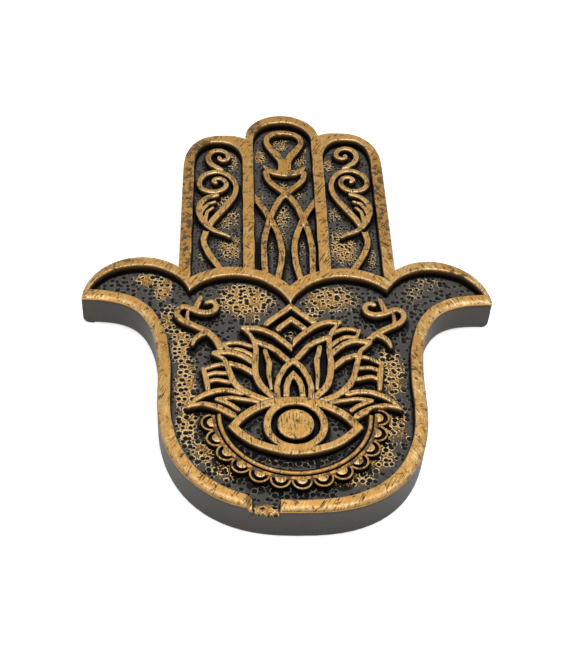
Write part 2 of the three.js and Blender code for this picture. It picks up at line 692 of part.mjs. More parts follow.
// Lotus, leaves and scrolls of one side of the palm
function palmSideRelief(side, neighbours) {
  const panel = palmWindow(seam);
  const nearSide = reliefShift + (side * seam) / 2;
  const farSide = side * farAway;
  const ownHalf = box(Math.min(nearSide, farSide), -farAway, Math.max(nearSide, farSide), farAway,
    cutterLow, cutterHigh);
  const straight = palmPlace(side, 0);
  const inner = palmPlace(side, innerPetalLean);
  const outer = palmPlace(side, outerPetalLean);
  const rooms = [...neighbours];
  const draw = (strokes, place) => {
    const body = relief(strokes, place, palmReliefTop).intersect(panel).intersect(ownHalf);
    const piece = mainBody(cut(body, rooms));
    rooms.push(clearance(strokes, place));
    return piece;
  };
  return {
    inner_petal: draw(innerPetal, inner),
    petal_vein: draw(petalVein, inner),
    outer_petal: draw(outerPetal, outer),
    upper_fin: draw(upperFin, outer),
    low_leaf: draw(lowLeaf, straight),
    low_leaf_strands: draw(lowLeafStrands, straight),
    lower_fin: draw(lowerFin, outer),
    palm_scroll: draw(palmScroll, straight),
  };
}

function palmRelief() {
  const eyeRoom = lidDiscs(-seam);
  const place = palmPlace(1, 0);
  const panel = palmWindow(seam);
  const draw = (strokes, rooms) => (
    mainBody(cut(relief(strokes, place, palmReliefTop).intersect(panel), [eyeRoom, ...rooms]))
  );
  const petalRoom = clearance(centrePetal, place);
  const petals = join([-1, 1].map((side) => clearance(innerPetal, palmPlace(side, innerPetalLean))));
  const pieces = {
    outer_chevron: draw(outerChevron, [petals]),
    inner_chevron: draw(innerChevron, [petals]),
    centre_petal: draw(centrePetal, []),
    centre_petal_heart: draw(centrePetalHeart, [petalRoom]),
  };
  const neighbours = [eyeRoom, petalRoom, borderRoom()];
  [[-1, 'left'], [1, 'right']].forEach(([side, name]) => {
    Object.entries(palmSideRelief(side, neighbours)).forEach(([piece, solid]) => {
      pieces[`${name}_${piece}`] = solid;
    });
  });
  return pieces;
}

const holder = new THREE.Group();

function addPiece(name, solid, look) {
  const mesh = new THREE.Mesh(toGeometry(solid), new THREE.MeshStandardMaterial(look));
  mesh.name = name;
  holder.add(mesh);
}

function addPieces(pieces, prefix = '') {
  Object.entries(pieces).forEach(([name, solid]) => addPiece(`${prefix}${name}`, solid, gold));
}

addPiece('tray_body', hand(0, floorZ), charcoal);
addPieces(rimPieces());
addPieces(middleRelief());
addPieces(fingerRelief(-1), 'left_');
addPieces(fingerRelief(1), 'right_');
addPieces(palmRelief());
addPieces(eyePieces());
addPieces(borderPieces());

export default holder;
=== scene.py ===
"""Looks of a hamsa incense holder: a cast hand with rubbed gold relief, laid out as a Blender add-on."""

import functools
import math
from collections import Counter
from dataclasses import dataclass

import bmesh
import bpy
import numpy as np
from bpy.props import FloatProperty, FloatVectorProperty, IntProperty, PointerProperty
from bpy.types import Operator, Panel, PropertyGroup
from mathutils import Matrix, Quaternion, Vector


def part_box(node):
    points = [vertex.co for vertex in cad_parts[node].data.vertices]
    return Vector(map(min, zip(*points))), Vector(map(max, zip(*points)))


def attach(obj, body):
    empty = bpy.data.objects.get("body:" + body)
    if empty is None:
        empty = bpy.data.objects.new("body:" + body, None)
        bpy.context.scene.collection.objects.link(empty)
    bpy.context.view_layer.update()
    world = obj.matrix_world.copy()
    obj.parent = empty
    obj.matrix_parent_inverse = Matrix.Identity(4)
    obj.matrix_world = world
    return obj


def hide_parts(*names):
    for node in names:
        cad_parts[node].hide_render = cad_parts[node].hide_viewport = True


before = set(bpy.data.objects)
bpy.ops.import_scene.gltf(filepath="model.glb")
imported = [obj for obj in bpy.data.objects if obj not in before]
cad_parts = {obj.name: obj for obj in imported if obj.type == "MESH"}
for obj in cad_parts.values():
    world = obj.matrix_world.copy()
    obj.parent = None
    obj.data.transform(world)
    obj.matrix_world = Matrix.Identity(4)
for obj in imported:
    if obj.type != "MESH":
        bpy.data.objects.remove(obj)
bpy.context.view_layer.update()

bl_info = {
    "name": "Hamsa Incense Holder",
    "version": (1, 0, 0),
    "blender": (4, 5, 0),
    "location": "View3D > Sidebar > Holder",
    "description": "Dresses the packed solids of a cast, hand-shaped incense holder",
    "category": "Object",
}

BODY = "root"
MM = 0.001

# Solids of the casting, by the way they are dressed
RIM_NODES = ("outer_rim", "palm_arch", "left_divider", "right_divider")
SCALLOP_NODES = tuple(sorted(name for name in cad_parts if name.startswith("scallop_")))
PLAIN_NODES = ("tray_body", "border_band") + RIM_NODES + SCALLOP_NODES
RELIEF_NODES = tuple(sorted(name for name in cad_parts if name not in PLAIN_NODES))

# Levels of the casting
FLOOR_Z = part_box("tray_body")[1].z
RIM_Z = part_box("outer_rim")[1].z
SCALLOP_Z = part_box(SCALLOP_NODES[0])[1].z
SLAB_Z = FLOOR_Z - 0.9 * MM    # top of the slab, hidden under the floors
ROOT_Z = FLOOR_Z - 0.5 * MM    # underside of the relief, hidden in the floors
COLLAR_Z = SCALLOP_Z - 0.12 * MM    # flat collar that the beads of the scallops run into

# Foot of the slab
FOOT_ROUND = 0.7 * MM          # radius of the slab's lower edge
FOOT_LEVELS = (0.15, 0.4, 0.8, 1.3, 2, 3, 4.5, 6)    # heights in mm at which the slab's wall can bend
THUMB_ROUND = 2.6 * MM         # radius of the corner under the tip of a thumb
THUMB_X = (45 * MM, 57 * MM)   # that corner grows round between these distances from the middle
WRIST_FLARE = 0.8 * MM         # the outer wall leans out this far at the foot of the wrist
WRIST_Y = (-70 * MM, -90 * MM)    # the wall starts to lean out and leans fully at these places

# Edges of the rim and the relief
SHOULDER_DROP = 0.13           # share of a raised form's height that its round shoulder takes
STROKE_SWELL = 0.05 * MM       # strokes are this much fuller on each side than their solids
HEIGHT_SHARE = 0.6             # tops wander this much of what edges wander
EDGE_LEAN = math.radians(45)   # slope of the rim's rounding where it meets the outer wall
LEAST_TURN = 0.4               # share of the rim's rounding that is left beside the fingers
TURN_Y = (30 * MM, -30 * MM)   # the rounding grows from its least to its full share between these places
NOTCH_SAG = 2.0 * MM           # the rim sinks this far where it slants into the notch at the wrist
NOTCH_PAINT = 0.85             # walls beside the notch are painted as if they were this far up the rim
NOTCH_RISE = 1.4 * MM          # the floor climbs this far in the notch
NOTCH_DOTS = 0.55              # strength of the dots in the notch

# Reaches on the grids
FIELD_REACH = 2.5 * MM         # distances are worked out this far from an outline
ROOM_REACH = 2.0 * MM          # a gap is judged by the widest room this far around
NARROW, WIDE = 1.1 * MM, 1.7 * MM    # half widths of a gap painted fully in shade and of an open floor
SHADE_REACH = 1.6 * MM          # painted shade darkens the floor this far from the relief
RIM_SHADE_REACH = 0.8 * MM      # the same beside the rim
CLEAR_REACH = 1.1 * MM         # dots are full only this far from raised forms
FLOOR_LAP = 0.6 * MM           # the floors reach this far under the rim
EDGE_SHARE = 0.35              # grid points within this share of a step count as on the outline
PROBE = 0.05 * MM              # step to the side of an edge, to see what lies there
BATCHES = 40                   # points are compared with an outline in this many batches

# Faces and shading
UNDERSIDE = -0.99              # faces whose normal points further down than this are the underside
UPRIGHT = 0.02                 # faces whose normal is less tilted than this stand upright
SLAB_SHARP = math.radians(40)
BORDER_SHARP = math.radians(55)
SHELL_SHARP = math.radians(70)
RIGHT_RIM_X = (28 * MM, 33 * MM)    # the rim's scratches slant the other way past these places

# Border below the eye; paint is given by the heights above the floor where it starts and is full
CUP_DEPTH = 1.5 * MM
BEAD_HEIGHT = 1.6 * MM
STEP_HEIGHT = 1.5 * MM
GROOVE_DEPTH = 0.7 * MM
BAND_POINTS = 160              # points along the band's arc
SCALLOP_WIDTHS = (0.97, 1.02)  # least and most width of a scallop, as a share of its set width
SCALLOP_PAINT = (1.2 * MM, 1.9 * MM)
RIDGE_PAINT = (1.3 * MM, 2.2 * MM)
COLLAR_PAINT = (1.2 * MM, 1.8 * MM)
COLLAR_WEAR = 0.8

# Picture that the camera was fitted to
FOCAL_PIXELS = 1200
LONG_SIDE_PIXELS = 650
SENSOR_WIDTH = 36    # in mm

# Lines that part the floors from each other, in mm
ARCH_CENTRES = ((18.6, -16), (-17.4, -16))
ARCH_RADIUS = 21.3
FINGERS_HALF = 36
DIVIDER_X = 12.75
THUMB_FLOOR_X = 40.5

# Gold rubbed over the stippled floors: middle and half width of each patch in mm, and its strength
RUBBED_PATCHES = (
    ((-14, -5), (9, 7.5), 1.0), ((-12, -12), (4, 3), 0.7), ((13.5, -4), (8.5, 6), 0.95),
    ((8, -11), (3, 3), 0.6), ((-47, 4), (4, 3.5), 0.9), ((-41, 0), (3, 6), 0.95),
    ((-38.5, -15), (2.8, 7), 0.85), ((-34, -25), (3.2, 9), 1.0), ((-32.5, -42), (3.2, 11), 1.0),
    ((-31.5, -57), (3, 8), 0.95), ((-27, -67), (3.5, 5), 0.85), ((-20, -74), (5, 3.5), 0.7),
    ((31.5, -36), (4, 10), 0.9), ((30, -56), (5, 8), 0.8), ((25, -68), (5, 6), 0.8),
    ((16, -76), (7, 4), 0.7), ((0, -71), (12, 1.5), 0.2), ((0, -21), (1.5, 2), 0.6),
    ((47, 4), (5, 4), 0.45), ((42, -1), (3, 6), 0.4), ((-9.3, -89.4), (4.6, 2.6), 2.0),
    ((-18.5, 66), (2, 5), 0.8), ((-24, 56), (1.5, 2), 0.9), ((-22, 45), (2.5, 5), 0.75),
    ((-20, 35), (4, 6), 0.7), ((-19, 20), (3.5, 6), 0.85), ((-28, 17), (2, 4), 0.6),
    ((16.5, 65), (2, 3.5), 0.8), ((18, 38), (2.5, 4), 0.5), ((19.8, 21), (4.6, 8), 1.0),
    ((29, 16), (1.8, 5), 0.6), ((-0.5, 77), (2.5, 4), 0.75), ((-8.5, 69), (2, 3.5), 1.0),
    ((6, 68), (3, 3.5), 0.8), ((8, 74), (1.5, 3), 0.6), ((0, 52), (2, 2), 0.7),
    ((5.5, 48), (2.5, 2), 0.6), ((-8, 47), (2, 2.5), 0.5), ((-1, 36), (2.5, 6), 0.8),
    ((-1, 26), (1.2, 4), 0.6), ((-6, 20), (2, 6), 0.35), ((5.5, 20), (2, 6), 0.35),
)

# The notch at the wrist, and the end of the rim that slants into it, in the same form
NOTCH_PATCH = (((-8.5, -90), (5, 4), 1.0),)
SAGGED_PATCH = (((-12.2, -88), (1.5, 5), 1.0),)

# Rim worn down to the dark resin: middle and half width of each patch in mm, and its strength
WORN_PATCHES = (
    ((-34.4, 38), (3, 34), 0.65), ((-31, 68), (5, 8), 0.9), ((34.4, 42), (3, 28), 0.7),
    ((-10, 82), (4, 4), 0.8), ((-38, -20), (3, 20), 0.25), ((38, -30), (4, 12), 0.3),
    ((-58, 8), (8, 6), 0.4), ((58, 8), (8, 6), 0.4), ((0, 50), (14, 40), 0.25),
)


# Sizes and colours that a user would change

def length_setting(name, description, default, low, high=100):
    """A length, given here in millimetres."""
    return FloatProperty(
        name=name, description=description, default=default * MM, min=low * MM, max=high * MM,
        precision=5, unit="LENGTH")


def angle_setting(name, description, default):
    """An angle, given here in degrees."""
    return FloatProperty(
        name=name, description=description, default=math.radians(default), subtype="ANGLE")


def place_setting(name, description, default):
    """A place, given here in millimetres."""
    return FloatVectorProperty(
        name=name, description=description, default=[axis * MM for axis in default], precision=5,
        subtype="TRANSLATION")


def colour_setting(name, description, default):
    """A colour, in linear shares of red, green and blue."""
    return FloatVectorProperty(
        name=name, description=description, default=default, min=0, max=1, subtype="COLOR")


class CastingSettings(PropertyGroup):
    """Sizes of the rim and the relief."""

    grid_step: length_setting("Grid Step", "Spacing of the points that carry the raised work", 0.2, 0.1, 1)
    shoulder: length_setting("Shoulder", "Width over which the relief's edges are rounded", 0.5, 0.1, 2)
    foot: length_setting("Foot", "Distance from the relief's edge to the foot of its wall", 0.2, 0.05, 1)
    outer_round: length_setting("Outer Round", "Width over which the rim's outer edge is rounded", 2, 0.2, 3)
    join_reach: length_setting("Join Reach", "Strokes nearer to each other than this join", 0.35, 0, 2)
    waver: length_setting("Waver", "How far hand-cut edges wander from their line", 0.1, 0, 0.5)


class StippleSettings(PropertyGroup):
    """Sizes of the punched dots on the sunk floors."""

    grid_step: length_setting("Grid Step", "Spacing of the points that carry the dots", 0.27, 0.1, 1)
    palm_spacing: length_setting("Palm Spacing", "Distance between the dots of the palm", 1.85, 1, 5)
    finger_spacing: length_setting("Finger Spacing", "Distance between the dots of the fingers", 1.25, 1, 5)
    depth: length_setting("Depth", "Depth of a dot", 0.45, 0, 1)
    unevenness: length_setting("Unevenness", "Height of the slow waves of the floors", 0.25, 0, 1)
    dot_share: FloatProperty(
        name="Dot Share", description="Radius of a dot as a share of the spacing",
        default=0.42, min=0.1, max=0.5, subtype="FACTOR")


class BorderSettings(PropertyGroup):
    """Sizes of the scalloped border below the eye."""

    centre: place_setting("Centre", "Middle of the border's arc", (0.6, -54.2, 0))
    inner_radius: length_setting("Inner Radius", "Radius of the step inside the ridge", 21.14, 5)
    ridge_inner: length_setting("Ridge Inner Radius", "Radius of the ridge's inner edge", 22.1, 5)
    ridge_outer: length_setting("Ridge Outer Radius", "Radius of the ridge's outer edge", 23.4, 5)
    scallop_ring: length_setting("Scallop Ring", "Radius of the arc that the scallops sit on", 25.3, 5)
    scallop_radius: length_setting("Scallop Radius", "Radius of one scallop", 3.2, 1)
    scallop_pitch: angle_setting("Scallop Pitch", "Angle from one scallop to the next", 14.1)
    scallop_turn: angle_setting("Scallop Turn", "Angle of the row's middle from the lowest point", 2.8)
    bead_radius: length_setting("Bead Radius", "Radius of the bead in a scallop", 1.75, 0.5)
    bead_setback: length_setting("Bead Setback", "Distance of a bead from its scallop's middle", 0.4, 0)
    groove: length_setting("Groove", "Width of the dark groove between the ridge and the collar", 0.4, 0.05)
    collar: length_setting("Collar", "Distance from the ridge to the outer edge of the flat collar", 1.6, 0)
    squash: FloatProperty(
        name="Squash", description="Depth of the border's arc as a share of its half width",
        default=0.962, min=0.5, max=1.5)
    scallop_count: IntProperty(
        name="Scallops", description="Number of scallops", default=len(SCALLOP_NODES), min=1, max=40)
    seed: IntProperty(name="Seed", description="Picks the scallops' small differences", default=4, min=0)


class FinishSettings(PropertyGroup):
    """Colours of the casting."""

    gold: colour_setting("Gold", "Bronze paint on the raised parts", (0.56, 0.292, 0.066))
    # Bright gold also serves as painted highlight on the edges of the raised parts and on the rim's rounding
    bright_gold: colour_setting("Bright Gold", "Bronze paint where it is rubbed most", (0.92, 0.70, 0.38))
    amber: colour_setting("Amber", "Thinner bronze paint beside the edges", (0.33, 0.15, 0.034))
    brown: colour_setting("Brown", "Thin paint on the walls of the relief", (0.12, 0.055, 0.018))
    umber: colour_setting("Umber", "Dark stain on the outer wall below the rim", (0.035, 0.017, 0.008))
    # Near black: a dark wash deepened into painted shade at the foot of the relief and its walls, in narrow
    # gaps and in the dots
    wash_and_shade: colour_setting("Wash And Shade", "Dark wash at the foot of the relief", (0.004, 0.0032, 0.0028))
    # Painted highlight: lighter grey on the lips of the dots, as if they catch the light
    lip_highlight: colour_setting("Lip Highlight", "Lighter grey on the lips of the dots", (0.16, 0.145, 0.125))
    charcoal: colour_setting("Charcoal", "Dark wash on the sunk floors", (0.082, 0.076, 0.069))
    side_grey: colour_setting("Side Grey", "Plain paint on the outer wall and below", (0.030, 0.024, 0.017))


class StageSettings(PropertyGroup):
    """Light, floor and camera of the picture."""

    floor_colour: colour_setting("Floor Colour", "Colour of the studio floor", (0.97, 0.97, 0.97))
    surround: FloatProperty(
        name="Surround", description="Strength of the white surroundings", default=0.4, min=0, max=5)
    light_place: place_setting("Light Place", "Where the large soft light hangs", (40, 50, 850))
    light_size: length_setting("Light Size", "Width of the large soft light", 700, 10, 3000)
    light_power: FloatProperty(
        name="Light Power", description="Power of the large soft light",
        default=5.4, min=0, max=200, subtype="POWER", unit="POWER")
    camera_place: place_setting(
        "Camera Place", "Where the picture is taken from", (-22.385, -280.416, 289.379))
    camera_aim: place_setting("Camera Aim", "What the camera looks at", (-2.180, -19.309, 12))
    camera_roll: angle_setting("Camera Roll", "Turn of the camera about its own axis", 3.989)
    camera_lens: FloatProperty(
        name="Camera Lens", description="Focal length in millimetres",
        default=FOCAL_PIXELS / LONG_SIDE_PIXELS * SENSOR_WIDTH, min=10, max=300)


class HolderSettings(PropertyGroup):
    """All settings of the holder."""

    casting: PointerProperty(type=CastingSettings)
    stipple: PointerProperty(type=StippleSettings)
    border: PointerProperty(type=BorderSettings)
    finish: PointerProperty(type=FinishSettings)
    stage: PointerProperty(type=StageSettings)


def settings():
    """The holder's settings in the open scene."""
    return bpy.context.scene.holder


# Node trees written as expressions

class Value:
    """An output socket; arithmetic on it adds Math nodes to its tree."""

    def __init__(self, nodes, socket):
        self.nodes = nodes
        self.socket = socket

    def __add__(self, other):
        return self.nodes.maths("ADD", self, other)

    def __radd__(self, other):
        return self.nodes.maths("ADD", other, self)

    def __sub__(self, other):
        return self.nodes.maths("SUBTRACT", self, other)

    def __rsub__(self, other):
        return self.nodes.maths("SUBTRACT", other, self)

    def __mul__(self, other):
        return self.nodes.maths("MULTIPLY", self, other)

    def __rmul__(self, other):
        return self.nodes.maths("MULTIPLY", other, self)

    def __truediv__(self, other):
        return self.nodes.maths("DIVIDE", self, other)

    def __rtruediv__(self, other):
        return self.nodes.maths("DIVIDE", other, self)


class NodeTree:
    """A node tree with short ways to add the nodes that the holder uses."""

    def __init__(self, tree):
        self.tree = tree

    def add(self, kind, settings=None, sockets=None, output=0):
        """Adds a node, makes its settings, fills its sockets and gives one of its outputs."""
        node = self.tree.nodes.new(kind)
        for name, setting in (settings or {}).items():
            setattr(node, name, setting)
        for key, value in (sockets or {}).items():
            self.fill(node.inputs[key], value)
        return Value(self, node.outputs[output]) if node.outputs else node

    def fill(self, socket, value):
        """Links a value to a socket, or sets the socket to a plain number, colour or name."""
        if isinstance(value, Value):
            self.tree.links.new(value.socket, socket)
        elif socket.type == "RGBA":
            socket.default_value = (*value, 1)
        else:
            socket.default_value = value

    def maths(self, operation, first, second):
        return self.add("ShaderNodeMath", {"operation": operation}, {0: first, 1: second})

    def span(self, value, low, high, start=0.0, end=1.0):
        """Runs smoothly from start to end while the value goes from low to high."""
        sockets = {0: value, 1: low, 2: high, 3: start, 4: end}
        return self.add("ShaderNodeMapRange", {"interpolation_type": "SMOOTHSTEP"}, sockets)

    def mix(self, share, first, second):
        """A colour between two colours."""
        settings = {"data_type": "RGBA"}
        return self.add("ShaderNodeMix", settings, {0: share, 6: first, 7: second}, "Result")

    def noise(self, place, size, detail=2.0, roughness=0.5):
        """Cloudy noise between 0 and 1 whose lumps have about the given size."""
        sockets = {"Vector": place, "Scale": 1 / size, "Detail": detail, "Roughness": roughness}
        return self.add("ShaderNodeTexNoise", None, sockets)


class Finish(NodeTree):
    """A material whose nodes are written as expressions."""

    def __init__(self, name):
        self.material = bpy.data.materials.new(name)
        self.material.use_nodes = True
        super().__init__(self.material.node_tree)
        self.shader = self.tree.nodes["Principled BSDF"]
        self.place = self.add("ShaderNodeTexCoord", output="Object")

    def attribute(self, name):
        """A value that the mesh carries."""
        return self.add("ShaderNodeAttribute", {"attribute_name": name}, output="Fac")

    def fine_noise(self):
        """The finest grain of the paint."""
        return self.noise(self.place, 0.5 * MM, 4, 0.65)

    def stretched(self, angle, length):
        """Coordinates in which a texture is drawn out along a direction of the table."""
        sockets = {"Vector": self.place, "Rotation": (0, 0, angle), "Scale": (length, 1, 1)}
        return self.add("ShaderNodeMapping", {"vector_type": "TEXTURE"}, sockets)

    def scratches(self, angle, size):
        """Short thin lines along a direction of the table, in loose groups."""
        lines = self.noise(self.stretched(math.radians(angle), 11), size, 3, 0.6)
        groups = self.span(self.noise(self.place, 8 * size, 2), 0.40, 0.54)
        return self.span(lines, 0.54, 0.62) * groups

    def along(self, axis):
        """Place along one axis of the part, in metres."""
        return self.add("ShaderNodeSeparateXYZ", None, {0: self.place}, axis)

    def bump(self, relief, depth):
        """A normal that leans with a small relief of the given depth."""
        return self.add("ShaderNodeBump", None, {"Height": relief, "Distance": depth}, "Normal")

    def shade(self, sockets):
        """Fills the shader's sockets and gives the finished material."""
        for name, value in sockets.items():
            self.fill(self.shader.inputs[name], value)
        return self.material


# Finishes

def scratched(finish, rim, right):
    """Dark scratches: slanting on the rim, each side its own way, and upright on the relief."""
    slanted = right * finish.scratches(118, 0.5 * MM) + (1 - right) * finish.scratches(60, 0.55 * MM)
    return rim * slanted + (1 - rim) * finish.scratches(92, 0.32 * MM)


def specked(finish, uneven):
    """Small round holes in the paint."""
    dots = finish.add("ShaderNodeTexVoronoi", None, {"Vector": finish.place, "Scale": 1 / (2.6 * MM)})
    return finish.span(dots + uneven * 0.2, 0.04, 0.12, 1, 0)


@functools.cache
def rubbed_gold():
    """Bronze paint rubbed over the raised parts, thinning to brown down the walls and falling to near black
    at their foot and in narrow gaps, which is painted shade.
    """
    colours = settings().finish
    finish = Finish("rubbed_gold_finish")
    rise = finish.attribute("rise")
    narrow = finish.attribute("narrow")
    wear = finish.attribute("wear")
    rim = finish.attribute("rim")
    turned = finish.attribute("turned")
    right = finish.span(finish.along("X"), *RIGHT_RIM_X)
    cloud = finish.noise(finish.place, 6 * MM, 3)
    lumps = finish.noise(finish.place, 2 * MM, 3, 0.55)
    grain = finish.noise(finish.stretched(math.radians(75), 6), 0.6 * MM, 3, 0.6)
    fine = finish.fine_noise()
    uneven = fine - 0.5

    # Where the gold lies, and where it has come off
    level = rise + uneven * 0.12
    painted = finish.span(level, 0.72, 0.82)
    flakes = finish.span(lumps + uneven * 0.4 + wear * 0.2, 0.63, 0.67)
    whole = (1 - scratched(finish, rim, right) * 0.8) * (1 - specked(finish, uneven)) * (1 - flakes)
    bare = finish.span(1 - whole, 0.0, 0.9)
    cover = painted * (1 - bare * 0.92)

    # Paint below the gold: brown down the walls, falling to near black towards their foot and in narrow gaps
    # as painted shade; charcoal where flakes have come off
    browned = finish.span(level, 0.45, 0.82) * (1 - narrow)
    wall_paint_and_shade = finish.mix(browned, colours.wash_and_shade, colours.brown)
    under = finish.mix(flakes * painted * 0.6, wall_paint_and_shade, colours.charcoal)

    # Gold, brighter where it is rubbed, brighter on the edges partly from rubbing and partly as painted
    # highlight, a little brighter on the band of the rim's rounding as painted highlight, and thinner beside
    # the walls
    shine = finish.span(turned, 0.15, 0.45) * finish.span(turned, 0.7, 0.95, 1, 0)
    edge = finish.span(rise, 0.78, 0.88) * finish.span(rise, 0.985, 1.0, 1, 0)
    glints = rim * right * finish.scratches(125, 0.7 * MM)
    patchy = cloud * 0.3 + grain * 0.7 + uneven * 0.9 - wear * 0.25
    rubbed = finish.span(patchy + edge * 0.3 + shine * 0.1 + glints * 0.3, 0.42, 0.95)
    full = finish.mix(rubbed, colours.gold, colours.bright_gold)
    thick = finish.span(level, 0.82, 0.96) * finish.span(turned, 0.8, 1.0, 1, 0.3) * (1 - wear * 0.3)
    top = finish.mix(thick, colours.amber, full)
    return finish.shade({
        "Base Color": finish.mix(cover, under, top),
        "Metallic": cover * 0.5,
        "Roughness": 0.62 - 0.16 * cover - 0.16 * edge + uneven * 0.2,
        "Normal": finish.bump(fine * 0.4 + grain * 0.4 + cover, 0.06 * MM),
        "Specular IOR Level": 0.12,
        "Coat Weight": edge * 0.6 + shine * 0.6,
        "Coat Roughness": 0.25,
    })


@functools.cache
def stippled_charcoal(spacing):
    """Dark wash on a punched floor, with gold caught between the dots."""
    colours = settings().finish
    finish = Finish("stippled_charcoal_finish")
    rub = finish.attribute("rub")
    clear = finish.attribute("open")
    darkened = finish.attribute("wash_and_shade")
    pit, lip = punched(finish, finish.place, spacing, settings().stipple.dot_share)
    depth = pit * clear
    cloud = finish.noise(finish.place, 1.4 * MM, 2)
    fine = finish.fine_noise()
    uneven = fine - 0.5
    caught = rub * clear * 0.82 + lip * clear * (0.3 + rub * 0.4) - depth
    gold = finish.span(caught + (cloud - 0.5) * 0.8 + uneven * 2.2, 0.52, 0.74)
    # Painted shade: the charcoal darkens to near black beside the relief and the rim and in narrow gaps, and
    # reaches twice as far on the wrist's side as a painted shadow
    wash = finish.mix(finish.span(darkened + uneven * 0.9, 0.05, 0.65), colours.charcoal, colours.wash_and_shade)
    # Painted highlight: the lips of the dots are painted a lighter grey
    lit = finish.mix(lip * clear * finish.span(cloud, 0.3, 0.55), wash, colours.lip_highlight)
    # Painted shade: the dots are painted near black
    grey = finish.mix(depth * 0.95, lit, colours.wash_and_shade)
    thin = finish.mix(finish.span(fine, 0.4, 0.55), colours.amber, colours.gold)
    paint = finish.mix(finish.span(lip * 0.55 + fine * 1.4, 0.65, 1.35), thin, colours.bright_gold)
    return finish.shade({
        "Base Color": finish.mix(gold, grey, paint),
        "Metallic": gold * 0.45,
        "Roughness": 0.5 - 0.1 * gold + uneven * 0.25,
        "Normal": finish.bump(fine + cloud + gold * 0.5, 0.22 * MM),
        "Specular IOR Level": 0.12,
    })


@functools.cache
def side_paint():
    """Plain grey paint on the outer wall, with gold and a dark stain running over its upper edge."""
    colours = settings().finish
    finish = Finish("side_paint_finish")
    cloud = finish.noise(finish.place, 9 * MM, 3)
    fine = finish.fine_noise()
    uneven = fine - 0.5
    height = finish.along("Z") + (cloud - 0.5) * (0.9 * MM) + uneven * (0.5 * MM)
    gold = finish.span(height, RIM_Z - 1.3 * MM, RIM_Z - 0.9 * MM)
    browned = finish.span(height, RIM_Z - 2.6 * MM, RIM_Z - 1.9 * MM)
    speckled = finish.mix(finish.span(fine, 0.3, 0.7), colours.side_grey, colours.charcoal)
    plain = finish.mix(0.35 + (cloud - 0.5) * 0.4, colours.side_grey, speckled)
    return finish.shade({
        "Base Color": finish.mix(gold, finish.mix(browned * 0.85, plain, colours.umber), colours.gold),
        "Metallic": gold * 0.6,
        "Roughness": 0.55 - 0.1 * gold + uneven * 0.12,
        "Normal": finish.bump(fine, 0.03 * MM),
        "Specular IOR Level": 0.36,
    })


def studio_paint(colour):
    """Matte paint of the studio floor, lit a little from below as a light table is."""
    finish = Finish("studio_paint_finish")
    cloud = finish.noise(finish.place, 400 * MM, 2)
    darker = tuple(0.985 * channel for channel in colour)
    return finish.shade({
        "Base Color": finish.mix(cloud, colour, darker),
        "Emission Color": (1, 1, 1),
        "Emission Strength": 0.55,
        "Roughness": 0.9,
        "Specular IOR Level": 0.1,
    })


# Outlines of the solids and distances to them

def top_outline(node):
    """Edges of a solid's top face seen from above, as pairs of points, with the face on their left."""
    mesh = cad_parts[node].data
    points = np.empty(len(mesh.vertices) * 3, np.float32)
    mesh.vertices.foreach_get("co", points)
    corners = np.empty(len(mesh.polygons) * 3, np.int32)
    mesh.polygons.foreach_get("vertices", corners)
    points, index = np.unique(np.round(points.reshape(-1, 3), 7), axis=0, return_inverse=True)
    triangles = index.reshape(-1)[corners].reshape(-1, 3)
    top = points[:, 2] > points[:, 2].max() - PROBE
    edges = open_edges(triangles[top[triangles].all(axis=1)])
    return points[edges][:, :, :2].astype(float)


def open_edges(triangles):
    """Directed edges that belong to one triangle only."""
    edges = np.concatenate([triangles[:, [0, 1]], triangles[:, [1, 2]], triangles[:, [2, 0]]])
    _, first, count = np.unique(np.sort(edges, axis=1), axis=0, return_index=True, return_counts=True)
    return edges[first[count == 1]]


def encloses(outline, points):
    """True for each point that an outline encloses."""
    start, end = outline[:, 0], outline[:, 1]
    x, y = points[:, :1], points[:, 1:]
    crosses = (start[:, 1] > y) != (end[:, 1] > y)
    rise = np.where(end[:, 1] == start[:, 1], 1, end[:, 1] - start[:, 1])
    across = start[:, 0] + (y - start[:, 1]) * (end[:, 0] - start[:, 0]) / rise
    return np.count_nonzero(crosses & (across > x), axis=1) % 2 == 1


def nearest_on(outline, points):
    """Nearest point of an outline to each of some points."""
    start = outline[:, 0]
    along = outline[:, 1] - start
    offset = points[:, None, :] - start
    share = np.clip((offset * along).sum(axis=2) / (along * along).sum(axis=1), 0, 1)
    foot = start + share[:, :, None] * along
    gap = ((points[:, None, :] - foot) ** 2).sum(axis=2)
    return foot[np.arange(len(points)), gap.argmin(axis=1)]


